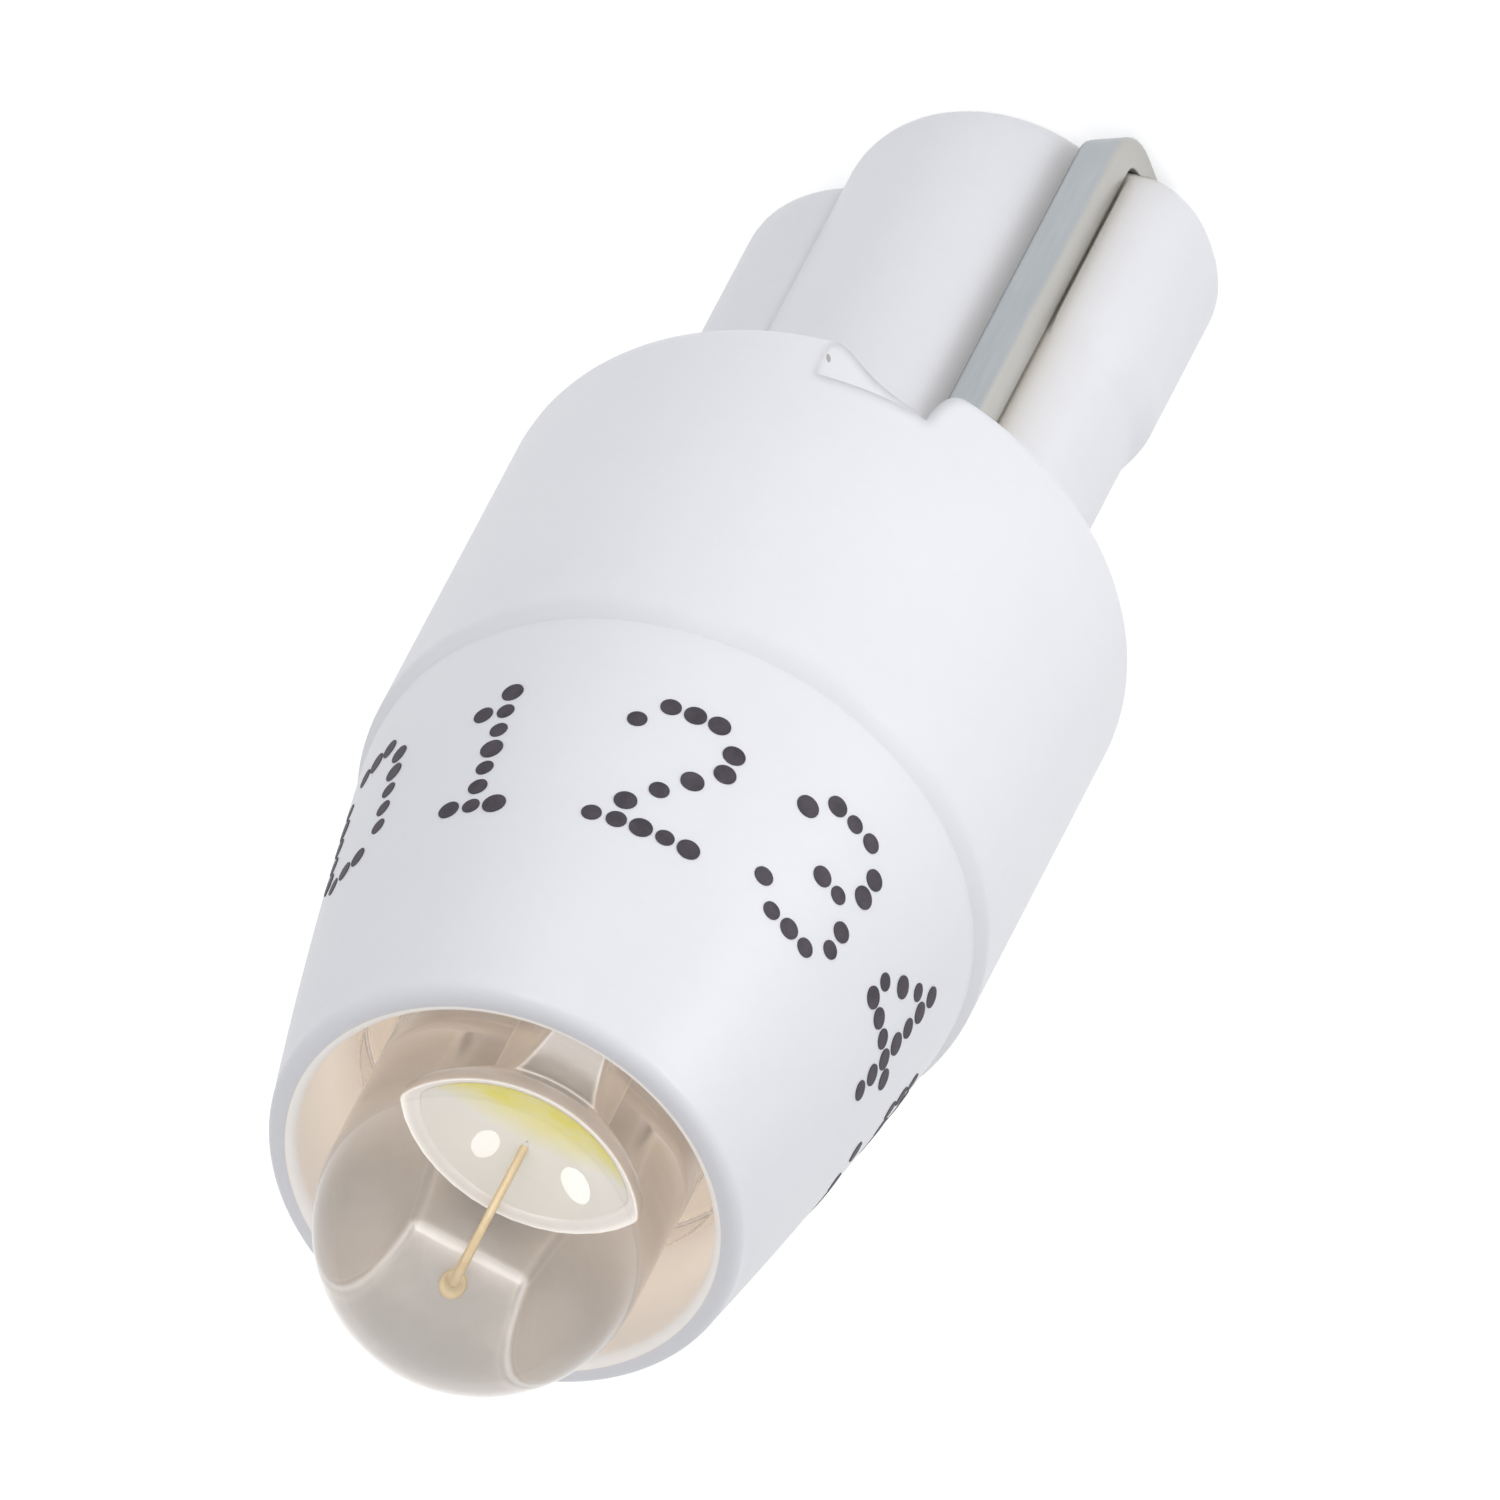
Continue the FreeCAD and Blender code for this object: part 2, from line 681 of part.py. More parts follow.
def make_lens(insides):
    """The clear moulded body: flange with its flat, cylinder and dome, cast round the frame."""
    body = new_body("led_lens")
    turn_with_led(body)
    profile = new_sketch(body, "lens_outline", "XZ_Plane")
    outline(profile, [
        (ZERO, flange_back),
        (flange_radius, flange_back),
        (flange_radius, flange_front),
        (lens_radius, flange_front),
        (lens_radius, lens_centre),
        (ZERO, lens_tip, lens_radius, False),
    ])
    revolve(body, profile, "lens")
    flat = new_sketch(body, "flat_outline", "XY_Plane", rise=flange_back - d.fit_gap)
    rectangle(flat, -flange_radius * 2, -flange_flat, -flange_radius, flange_radius)
    pocket(body, flat, "flat", d.flange_plate + d.fit_gap * 2, backwards=True)
    return cut_from("led_lens", body, insides)


def make_resistor(number_text, side):
    """A chip resistor on the board's front: ceramic body and its two metal ends."""
    across = resistor_out * side
    along = resistor_side * -side
    near = along - d.resistor_width / 2
    far = along + d.resistor_width / 2
    left = across - d.resistor_length / 2
    right = across + d.resistor_length / 2
    low = copper_front
    high = low + d.resistor_height
    middle = new_body("resistor_%s" % number_text)
    block(middle, left + d.resistor_cap, right - d.resistor_cap, near, far, low, high)
    limits = (("left", left, left + d.resistor_cap), ("right", right - d.resistor_cap, right))
    for name, first, last in limits:
        end = new_body("resistor_%s_%s_end" % (number_text, name))
        block(end, first, last, near, far, low, high)


def make_series_diode():
    """A moulded diode on the board's back, with a flat lead at each end."""
    half = d.diode_length / 2
    wide = d.diode_width / 2
    body = new_body("series_diode")
    turn_with_led(body)
    block(body, -wide, wide, -half, half, copper_back - d.diode_height, copper_back)
    reach = half + d.diode_lead_reach
    for name, first, last in (("left", -reach, -half), ("right", half, reach)):
        lead = new_body("series_diode_%s_lead" % name)
        turn_with_led(lead)
        block(lead, -d.diode_lead_width / 2, d.diode_lead_width / 2, first, last,
              copper_back - d.diode_lead_plate, copper_back)


def make_solder(label, across, along, foot_height, up, hole, turned):
    """A solder cone round a lead or a strip's leg, on either face of the board."""
    cone = doc.addObject("Part::Cone", label + "_cone")
    bind(cone, "Height", d.solder_height)
    if up:
        bind(cone, "Radius1", d.solder_radius)
        bind(cone, "Radius2", d.solder_top)
        bind(cone, "Placement.Base.z", foot_height)
    else:
        bind(cone, "Radius1", d.solder_top)
        bind(cone, "Radius2", d.solder_radius)
        bind(cone, "Placement.Base.z", foot_height - d.solder_height)
    bind(cone, "Placement.Base.x", across)
    bind(cone, "Placement.Base.y", along)
    rest = doc.addObject("Part::Cut", label + "_piece")
    rest.Base = cone
    rest.Tool = hole
    rest.Label = label
    if turned:
        bind(rest, "Placement.Rotation.Angle", turned)
    NODES.append(rest)
    return rest


def plain_box(label, left, right, near, far, low, high):
    box = doc.addObject("Part::Box", label)
    bind(box, "Length", right - left)
    bind(box, "Width", far - near)
    bind(box, "Height", high - low)
    bind(box, "Placement.Base.x", left)
    bind(box, "Placement.Base.y", near)
    bind(box, "Placement.Base.z", low)
    return box


def make_tracks(label, low, high, patches, rounds, holes, turn=None):
    """Copper on one face of the board: patches and round pads, with its holes cut out."""
    parts = []
    for index, (left, right, near, far) in enumerate(patches):
        parts.append(plain_box("%s_patch_%d" % (label, index), left, right, near, far, low, high))
    for index, (across, along) in enumerate(rounds):
        disc = doc.addObject("Part::Cylinder", "%s_round_%d" % (label, index))
        bind(disc, "Radius", d.solder_radius)
        bind(disc, "Height", high - low)
        bind(disc, "Placement.Base.x", across)
        bind(disc, "Placement.Base.y", along)
        bind(disc, "Placement.Base.z", low)
        parts.append(disc)
    copper = doc.addObject("Part::MultiFuse", label + "_copper")
    copper.Shapes = parts
    rest = copper
    if holes:
        space = doc.addObject("Part::MultiFuse", label + "_holes")
        space.Shapes = holes
        rest = doc.addObject("Part::Cut", label + "_piece")
        rest.Base = copper
        rest.Tool = space
    rest.Label = label
    if turn is not None:
        bind(rest, "Placement.Rotation.Angle", turn)
    NODES.append(rest)
    return rest


def make_board_metal():
    """Copper and solder on both faces of the board."""
    gap = d.fit_gap
    low = ledge_height - d.board_plate * 2
    high = board_front + d.board_plate * 2
    leg_holes = [
        plain_box("right_leg_space", strip_left - gap, strip_right + gap,
                  leg_far - gap, leg_near + gap, low, high),
        plain_box("left_leg_space", -strip_right - gap, gap - strip_left,
                  -leg_near - gap, gap - leg_far, low, high),
    ]
    lead_holes = [
        plain_box("anode_space", lead_place - lead_half - gap, lead_place + lead_half + gap,
                  -lead_half - gap, lead_half + gap, low, high),
        plain_box("cathode_space", -lead_place - lead_half - gap, lead_half + gap - lead_place,
                  -lead_half - gap, lead_half + gap, low, high),
    ]
    legs = [(strip_place, -d.strip_leg_place), (-strip_place, d.strip_leg_place)]
    patches = []
    for side in (-1, 1):
        along = resistor_side * -side
        for end in (-1, 1):
            middle = resistor_out * side + (d.resistor_length - d.resistor_cap) / 2 * end
            patches.append((middle - d.resistor_cap, middle + d.resistor_cap,
                            along - d.resistor_width / 2, along + d.resistor_width / 2))
    make_tracks("board_tracks_front", board_front, copper_front, patches, legs, leg_holes)
    diode_pad = (d.diode_length / 2, d.diode_length / 2 + d.diode_lead_reach)
    diode_patches = [(-d.diode_lead_width, d.diode_lead_width, diode_pad[0], diode_pad[1]),
                     (-d.diode_lead_width, d.diode_lead_width, -diode_pad[1], -diode_pad[0])]
    make_tracks("board_tracks_back", copper_back, ledge_height, diode_patches, [], [], turn=d.led_turn)
    make_tracks("board_lead_pads", copper_back, ledge_height, [],
                [(lead_place, ZERO), (-lead_place, ZERO)], lead_holes, turn=d.led_turn)
    make_solder("solder_right_strip", legs[0][0], legs[0][1], copper_front, True, leg_holes[0], None)
    make_solder("solder_left_strip", legs[1][0], legs[1][1], copper_front, True, leg_holes[1], None)
    make_solder("solder_anode", lead_place, ZERO, copper_back, False, lead_holes[0], d.led_turn)
    make_solder("solder_cathode", -lead_place, ZERO, copper_back, False, lead_holes[1], d.led_turn)


def check_and_write():
    """Stops on any failed object, then writes each piece to its own file."""
    doc.recompute()
    for item in doc.Objects:
        if "Invalid" in item.State or "Error" in item.State:
            raise ValueError(item.Label + " failed")
    for sketch, curve, centre in ARC_CENTRES:
        if sketch.Geometry[curve].Center.distanceToPoint(centre) > 0.001:
            raise ValueError("an arc of %s has flipped" % sketch.Label)
    os.makedirs("parts", exist_ok=True)
    for piece in NODES:
        shape = piece.Shape
        if shape.isNull() or not shape.isValid() or not shape.Solids:
            raise ValueError(piece.Label + " has no sound shape")
        shape.exportStep("parts/" + piece.Label + ".step")
        print("%-24s %d solid, %.4f mm3" % (piece.Label, len(shape.Solids), shape.Volume))


make_base_housing()
make_nose_cap()
make_contact_strip("contact_strip_right", False)
make_contact_strip("contact_strip_left", True)
make_driver_board()
cathode = make_cathode_frame()
anode = make_anode_frame()
chip = make_chip()
wire = make_bond_wire(anode)
doc.recompute()
phosphor = make_phosphor(chip, wire)
make_lens([cathode, anode, chip, wire, phosphor])
make_resistor("1", -1)
make_resistor("2", 1)
make_series_diode()
make_board_metal()
check_and_write()
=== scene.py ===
import json
import math

import bmesh
import bpy
from mathutils import Matrix, Vector


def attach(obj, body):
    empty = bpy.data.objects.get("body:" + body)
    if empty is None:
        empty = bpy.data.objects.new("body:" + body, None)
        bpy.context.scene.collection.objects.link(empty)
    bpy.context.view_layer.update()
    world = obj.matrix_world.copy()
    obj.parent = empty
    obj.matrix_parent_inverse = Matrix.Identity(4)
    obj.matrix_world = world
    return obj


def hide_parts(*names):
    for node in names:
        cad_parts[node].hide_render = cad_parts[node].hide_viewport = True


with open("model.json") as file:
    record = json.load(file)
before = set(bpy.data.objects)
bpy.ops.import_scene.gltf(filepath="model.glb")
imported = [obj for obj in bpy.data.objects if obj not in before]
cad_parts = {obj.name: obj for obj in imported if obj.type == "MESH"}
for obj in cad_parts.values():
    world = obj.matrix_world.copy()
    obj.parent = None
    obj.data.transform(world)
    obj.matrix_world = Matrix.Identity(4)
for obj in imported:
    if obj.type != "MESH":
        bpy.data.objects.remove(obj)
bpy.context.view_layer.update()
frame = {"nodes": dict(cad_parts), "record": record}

# Lengths are in millimetres in the part's own frame, and meshes and materials take them times MM, in metres.
MM = 0.001
MICRON = 0.000001

# The photograph's view: turn round the lamp, height above it, roll of the picture, what the picture spans and
# where it aims. The camera's distance is in metres.
VIEW_TURN = math.radians(40)
VIEW_LIFT = math.radians(46.9)
VIEW_LEAN = math.radians(62.3)
VIEW_SPAN = 13.54
AIM_ACROSS = 0.1332
AIM_HEIGHT = 7.811
CAMERA_DISTANCE = 0.6

# Rear moulding: round core, shoulder and tube, with the bores inside.
BODY_RADIUS = 3.0
TUBE_FRONT = 9.8
SHOULDER = 5.36
RIM_ROUND = 0.35
BARREL_RADIUS = 1.49
BARREL_END = 0.4
SPIGOT_BORE = 2.5
BOARD_SEAT = 8.2
CAVITY_RADIUS = 2.25
CAVITY_FLOOR = 6.3
CORE_BORE = 0.85
CORE_FLOOR = 0.9

# The tube's front edge is rounded, and a ridge inside the nose's wall keeps the softened seam free of a line.
SEAM_ROUND = 0.09
SEAM_DROP = 0.17
RIDGE_INSET = 0.22
RIDGE_RISE = 0.21

# Nose: a slightly bulged taper with a rounded lip, a mouth, a seat for the diode and a spigot.
NOSE_ROOT = 2.93
NOSE_LIP = 2.25
NOSE_FRONT = 14.42
NOSE_BULGE = 0.038
NOSE_STEPS = 24
ROOT_INSET = 0.012
ROOT_RUN = 0.08
LIP_ROUND = 0.14
LIP_START = NOSE_FRONT - LIP_ROUND
MOUTH_RADIUS = 1.97
MOUTH_ROUND = 0.12
SEAT_BACK = 11.6
SEAT_PLAY = 0.005
SPIGOT_INNER = 2.07
SPIGOT_OUTER = 2.47
SPIGOT_END = 8.72

# Diode: clear body, its two leads and the bond wire between them.
FLANGE_BACK = 12.05
FLANGE_FRONT = 13.0
FLANGE_RADIUS = 1.9
LENS_RADIUS = 1.53
LENS_TIP = 16.5
LEAD_TURN = math.radians(230)
LEAD_PLACE = 1.27
LEAD_HOLE = 0.27
WIRE_REACH = 0.5094
WIRE_START = 14.02
WIRE_RADIUS = 0.022
WIRE_SIDES = 12

# Wings, with a neck for the socket's catches and a flare into the shoulder.
WING_HALF = 2.3
WING_PLATE = 1.84
WING_EDGE = 0.8
WING_CORNER = 0.9
WING_TOP = 5.9
NECK_START = 2.6
NECK_RUN = 0.45
NECK_DEPTH = 0.12
FLARE_TOP = SHOULDER + 0.04
FLARE_WIDE = 0.62
FLARE_THICK = 0.3

# Contact strip: face, bend round the base end, and the leg inside the core.
STRIP_FACE = 1.18
STRIP_PLATE = 0.3
STRIP_LEFT = 1.285
STRIP_RIGHT = 1.715
STRIP_MIDDLE = (STRIP_LEFT + STRIP_RIGHT) / 2
STRIP_TOP = 5.76
STRIP_LOW = 0.12
STRIP_BEND = 0.45
STRIP_PLAY = 0.02
LEG_FACE = -0.25
LEG_TOP = 9.05

# Scoop in the shoulder's rim beside the strip's foot, and the tongue in front of that foot.
SCOOP_RADIUS = 1.38
SCOOP_PLACE = 3.76
SCOOP_MIDDLE = 0.1
SCOOP_SIDE = 0.16
SCOOP_TOP = 6.06
TONGUE_LEFT = 0.1
TONGUE_RIGHT = 0.56
TONGUE_WIDE = 0.4
TONGUE_TALL = 0.64
TONGUE_TOP = SHOULDER + 0.72
TONGUE_INNER = 2.06
TONGUE_OUTER = 3.2

# Printed digits: rows run along the nose, columns round it, and angles are in degrees.
PRINT_START = 10.72
ROW_PITCH = 0.236
COLUMN_PITCH = 0.235
FIRST_DIGIT = 95.0
DIGIT_PITCH = -36.0
INK_LIFT = 0.001
NOSE_SLOPE = 0.153

# Steps round a turned form, and how close two corners lie to be merged, in metres.
TURN_STEPS = 224
MERGE_REACH = 0.0000001


def arc(across, height, radius, start, end, steps):
    """Points on a circle in a profile's plane, angles in degrees from the outward direction."""
    points = []
    for step in range(steps + 1):
        angle = math.radians(start + (end - start) * step / steps)
        points.append((across + radius * math.cos(angle), height + radius * math.sin(angle)))
    return points


def mesh_piece(name, verts, faces):
    """A mesh object of its own, from corners in millimetres."""
    mesh = bpy.data.meshes.new(name)
    mesh.from_pydata([Vector(v) * MM for v in verts], [], faces)
    piece = bpy.data.objects.new(name, mesh)
    bpy.context.scene.collection.objects.link(piece)
    return piece


def face_outwards(piece):
    """Merges corners that coincide and turns every face outwards."""
    shape = bmesh.new()
    shape.from_mesh(piece.data)
    bmesh.ops.remove_doubles(shape, verts=shape.verts, dist=MERGE_REACH)
    bmesh.ops.recalc_face_normals(shape, faces=shape.faces)
    shape.to_mesh(piece.data)
    shape.free()


def turned(name, profile):
    """Turns a closed profile of (radius, height) points about the lamp's axis."""
    verts = []
    rings = []
    for radius, height in profile:
        if radius < 1e-6:
            rings.append([len(verts)] * TURN_STEPS)
            verts.append((0, 0, height))
            continue
        rings.append(list(range(len(verts), len(verts) + TURN_STEPS)))
        for step in range(TURN_STEPS):
            angle = 2 * math.pi * step / TURN_STEPS
            verts.append((radius * math.cos(angle), radius * math.sin(angle), height))
    faces = []
    for index, low in enumerate(rings):
        high = rings[(index + 1) % len(rings)]
        for step in range(TURN_STEPS):
            after = (step + 1) % TURN_STEPS
            corners = []
            for corner in (low[step], low[after], high[after], high[step]):
                if corner not in corners:
                    corners.append(corner)
            if len(corners) > 2:
                faces.append(corners)
    piece = mesh_piece(name, verts, faces)
    face_outwards(piece)
    return piece


def lofted(name, rings):
    """Joins rings that have the same number of corners into one form with closed ends."""
    count = len(rings[0])
    verts = [corner for ring in rings for corner in ring]
    faces = [list(range(count)), list(range(len(verts) - 1, len(verts) - 1 - count, -1))]
    for low in range(0, len(verts) - count, count):
        for step in range(count):
            after = (step + 1) % count
            faces.append([low + step, low + after, low + count + after, low + count + step])
    return mesh_piece(name, verts, faces)


def extruded(name, outline, place):
    """Gives an outline thickness: place turns an outline point and a side, 0 or 1, into a corner."""
    piece = lofted(name, [[place(a, b, side) for a, b in outline] for side in (0, 1)])
    face_outwards(piece)
    return piece


def half_turned(piece, name):
    """The piece's twin on the lamp's other side."""
    twin = bpy.data.objects.new(name, piece.data.copy())
    twin.data.transform(Matrix.Rotation(math.pi, 4, "Z"))
    bpy.context.scene.collection.objects.link(twin)
    return twin


def apply_modifiers(piece):
    """Replaces the piece's mesh by what its modifiers make of it."""
    graph = bpy.context.evaluated_depsgraph_get()
    graph.update()
    mesh = bpy.data.meshes.new_from_object(piece.evaluated_get(graph))
    mesh.name = piece.name
    piece.modifiers.clear()
    piece.data = mesh


def settle(piece, sharp_angle=32):
    """Applies the piece's modifiers and shades it smooth between its real edges."""
    apply_modifiers(piece)
    for face in piece.data.polygons:
        face.use_smooth = True
    piece.data.set_sharp_from_angle(angle=math.radians(sharp_angle))


def cut(piece, other, operation="DIFFERENCE"):
    """Adds a boolean with the other piece, which settle applies."""
    modifier = piece.modifiers.new(other.name, "BOOLEAN")
    modifier.operation = operation
    modifier.solver = "EXACT"
    modifier.object = other


def round_edges(piece, width, steps, angle):
    """Adds a rounding of every edge that turns by more than the angle."""
    bevel = piece.modifiers.new("rounding", "BEVEL")
    bevel.width = width * MM
    bevel.segments = steps
    bevel.limit_method = "ANGLE"
    bevel.angle_limit = math.radians(angle)


def drop(*pieces):
    """Removes tools that have done their cut."""
    for piece in pieces:
        bpy.data.objects.remove(piece)


def nose_radius(height):
    """Radius of the nose's outside between its root and the start of its lip."""
    share = (height - TUBE_FRONT) / (LIP_START - TUBE_FRONT)
    return NOSE_ROOT + (NOSE_LIP - NOSE_ROOT) * share + 4 * NOSE_BULGE * share * (1 - share)


def nose_profile():
    """Half section of the nose, with its seat closed behind the diode's flange."""
    outer = [(NOSE_ROOT - ROOT_INSET, TUBE_FRONT - ROOT_RUN)]
    for step in range(1, NOSE_STEPS + 1):
        height = TUBE_FRONT + (LIP_START - TUBE_FRONT) * step / NOSE_STEPS
        outer.append((nose_radius(height), height))
    lip = arc(NOSE_LIP - LIP_ROUND, LIP_START, LIP_ROUND, 8, 90, 7)
    mouth = arc(MOUTH_RADIUS + MOUTH_ROUND, NOSE_FRONT - MOUTH_ROUND, MOUTH_ROUND, 90, 180, 7)
    inner = [
        (MOUTH_RADIUS, FLANGE_BACK - SEAT_PLAY),
        (0, FLANGE_BACK - SEAT_PLAY),
        (0, SEAT_BACK),
        (SPIGOT_INNER, SEAT_BACK),
        (SPIGOT_INNER, SPIGOT_END),
        (SPIGOT_OUTER, SPIGOT_END),
        (SPIGOT_OUTER, TUBE_FRONT),
    ]
    return outer + lip + mouth + inner


def make_nose_shell():
    """The nose with its spigot, and the seat that the two leads pass through."""
    shell = turned("nose_shell", nose_profile())
    holes = []
    for middle, name in ((LEAD_PLACE, "anode_hole"), (-LEAD_PLACE, "cathode_hole")):
        left, right = middle - LEAD_HOLE, middle + LEAD_HOLE
        square = [(left, -LEAD_HOLE), (right, -LEAD_HOLE), (right, LEAD_HOLE), (left, LEAD_HOLE)]
        ends = (SEAT_BACK - 0.2, FLANGE_BACK + 0.25)
        hole = extruded(name, square, lambda a, b, end: (a, b, ends[end]))
        hole.data.transform(Matrix.Rotation(LEAD_TURN, 4, "Z"))
        cut(shell, hole)
        holes.append(hole)
    settle(shell, 25)
    drop(*holes)
    return shell


def core_profile():
    """Half section of the round core, the shoulder and the tube, with the bores inside."""
    profile = [(0, 0)]
    profile += arc(BARREL_RADIUS - BARREL_END, BARREL_END, BARREL_END, -90, 0, 9)
    profile += [(BARREL_RADIUS, SHOULDER)]
    profile += arc(BODY_RADIUS - RIM_ROUND, SHOULDER + RIM_ROUND, RIM_ROUND, -90, 0, 9)
    profile += arc(BODY_RADIUS - SEAM_ROUND, TUBE_FRONT - SEAM_DROP, SEAM_ROUND, 0, 40, 3)
    profile += [
        (BODY_RADIUS - RIDGE_INSET, TUBE_FRONT + RIDGE_RISE),
        (BODY_RADIUS - RIDGE_INSET, TUBE_FRONT),
        (SPIGOT_BORE, TUBE_FRONT),
        (SPIGOT_BORE, BOARD_SEAT),
        (CAVITY_RADIUS, BOARD_SEAT),
        (CAVITY_RADIUS, CAVITY_FLOOR),
        (CORE_BORE, CAVITY_FLOOR),
        (CORE_BORE, CORE_FLOOR),
        (0, CORE_FLOOR),
    ]
    return profile


def wing_section(height):
    """Half width, half thickness and corner radius of both wings at a height."""
    width, plate = WING_HALF, WING_PLATE / 2
    if height < WING_CORNER:
        width += math.sqrt(WING_CORNER ** 2 - (WING_CORNER - height) ** 2) - WING_CORNER
    if height < WING_EDGE:
        plate += math.sqrt(WING_EDGE ** 2 - (WING_EDGE - height) ** 2) - WING_EDGE
    slope = min(1, max(0, (height - NECK_START) / NECK_RUN))
    width -= NECK_DEPTH * slope * slope * (3 - 2 * slope)
    width += flare(height, FLARE_WIDE)
    plate += flare(height, FLARE_THICK)
    return width, plate, min(WING_EDGE, plate * 0.97)


def flare(height, reach):
    """How far a quarter round of that reach stands out at a height, where the wings meet the shoulder."""
    rise = min(reach, height - (FLARE_TOP - reach))
    if rise <= 0:
        return 0
    return reach - math.sqrt(reach * reach - rise * rise)


def make_wings():
    """Both wings in one loft: thumb-round ends, necks, and a flare where they run into the shoulder."""
    heights = [WING_CORNER * (1 - math.cos(math.radians(a))) for a in range(0, 91, 6)]
    heights += [1.4, 2.0, 2.55]
    heights += [NECK_START + NECK_RUN * step / 8 for step in range(9)]
    heights += [3.6, 4.3]
    heights += [FLARE_TOP - FLARE_WIDE * (1 - math.sin(math.radians(a))) for a in range(0, 91, 7)]
    heights += [FLARE_TOP + 0.01, WING_TOP]
    rings = []
    for height in heights:
        width, plate, corner = wing_section(height)
        ring = []
        for side, (x, y) in enumerate(((1, 1), (-1, 1), (-1, -1), (1, -1))):
            middle_x, middle_y = x * (width - corner), y * (plate - corner)
            for a, b in arc(0, 0, corner, 90 * side, 90 * side + 90, 12):
                ring.append((middle_x + a, middle_y + b, height))
        rings.append(ring)
    wings = lofted("wings", rings)
    face_outwards(wings)
    settle(wings)
    return wings


def make_channel():
    """Tool that clears the way of one contact strip through wing and core."""
    leg_back, leg_front = LEG_FACE - STRIP_PLAY, LEG_FACE + STRIP_PLATE + STRIP_PLAY
    face_back, outside = STRIP_FACE - STRIP_PLATE - 2 * STRIP_PLAY, STRIP_FACE + 0.22
    bend_top, below = STRIP_LOW + STRIP_PLATE + STRIP_PLAY, -0.5
    face_top, leg_top = STRIP_TOP + STRIP_PLAY, CAVITY_FLOOR + 0.05
    outline = [
        (leg_back, below),
        (outside, below),
        (outside, face_top),
        (face_back, face_top),
        (face_back, bend_top),
        (leg_front, bend_top),
        (leg_front, leg_top),
        (leg_back, leg_top),
    ]
    sides = (STRIP_LEFT - STRIP_PLAY, STRIP_RIGHT + STRIP_PLAY)
    return extruded("channel", outline, lambda a, b, side: (sides[side], a, b))


def make_scoop():
    """Tool that cuts the round scoop into the shoulder's rim, beside the strip's foot."""
    reach = SCOOP_SIDE - SCOOP_MIDDLE
    end = 360 + math.degrees(math.atan2(-math.sqrt(SCOOP_RADIUS ** 2 - reach ** 2), reach))
    outline = arc(SCOOP_MIDDLE, SCOOP_PLACE, SCOOP_RADIUS, 180, end, 28) + [(SCOOP_SIDE, SCOOP_PLACE)]
    levels = (SHOULDER - 0.1, SCOOP_TOP)
    scoop = extruded("scoop", outline, lambda a, b, side: (a, b, levels[side]))
    scoop.data.transform(Matrix.Rotation(-VIEW_TURN, 4, "Z"))
    return scoop


def make_lip_rounding():
    """Tool that rounds the corner of the tongue in front of the strip's foot with a quarter ellipse."""
    bottom = SHOULDER - 0.06
    outline = [(TONGUE_LEFT, bottom), (TONGUE_RIGHT, bottom)]
    for a, b in arc(0, 0, 1.0, 270, 180, 14):
        outline.append((TONGUE_RIGHT + TONGUE_WIDE * a, TONGUE_TOP + TONGUE_TALL * b))
    outline.append((TONGUE_LEFT, TONGUE_TOP))
    reaches = (TONGUE_INNER, TONGUE_OUTER)
    lip = extruded("lip_rounding", outline, lambda a, b, side: (a, reaches[side], b))
    lip.data.transform(Matrix.Rotation(-VIEW_TURN, 4, "Z"))
    return lip


def make_base_shell():
    """Tube, shoulder, round core and wings in one moulding, with strip channels and rim scoops."""
    shell = turned("base_shell", core_profile())
    wings = make_wings()
    cut(shell, wings, "UNION")
    tools = []
    for tool in (make_channel(), make_scoop(), make_lip_rounding()):
        tools += [tool, half_turned(tool, tool.name + "_twin")]
    for tool in tools:
        cut(shell, tool)
    settle(shell, 28)
    even = shell.modifiers.new("even_normals", "WEIGHTED_NORMAL")
    even.keep_sharp = True
    apply_modifiers(shell)
    drop(wings, *tools)
    return shell


def strip_outline():
    """Side view of a strip, across the wing and along the lamp."""
    inside = STRIP_BEND - STRIP_PLATE
    middle = STRIP_LOW + STRIP_BEND
    outer = arc(STRIP_FACE - STRIP_BEND, middle, STRIP_BEND, -90, 0, 8)
    outer += [(STRIP_FACE, STRIP_TOP), (STRIP_FACE - STRIP_PLATE, STRIP_TOP)]
    inner = arc(STRIP_FACE - STRIP_BEND, middle, inside, 0, -90, 5)
    inner += arc(LEG_FACE + STRIP_BEND, middle, inside, 270, 180, 5)
    leg = [(LEG_FACE + STRIP_PLATE, LEG_TOP), (LEG_FACE, LEG_TOP)]
    leg += arc(LEG_FACE + STRIP_BEND, middle, STRIP_BEND, 180, 270, 8)
    return outer + inner + leg


def make_strips():
    """The two contact strips, each bent from one plate."""
    sides = (STRIP_LEFT, STRIP_RIGHT)
    strip = extruded("strip_right", strip_outline(), lambda a, b, side: (sides[side], a, b))
    round_edges(strip, width=0.035, steps=3, angle=60)
    settle(strip)
    return strip, half_turned(strip, "strip_left")


def make_lens():
    """Clear body of the diode: flange, cylinder and dome in one."""
    back, front, foot = 0.08, 0.1, 0.06
    profile = [(0, FLANGE_BACK)]
    profile += arc(FLANGE_RADIUS - back, FLANGE_BACK + back, back, -90, 0, 4)
    profile += arc(FLANGE_RADIUS - front, FLANGE_FRONT - front, front, 0, 90, 4)
    profile += arc(LENS_RADIUS + foot, FLANGE_FRONT + foot, foot, 270, 180, 4)
    profile += arc(0, LENS_TIP - LENS_RADIUS, LENS_RADIUS, 0, 90, 56)[:-1]
    profile += [(0, LENS_TIP)]
    lens = turned("clear_dome", profile)
    settle(lens, 40)
    return lens


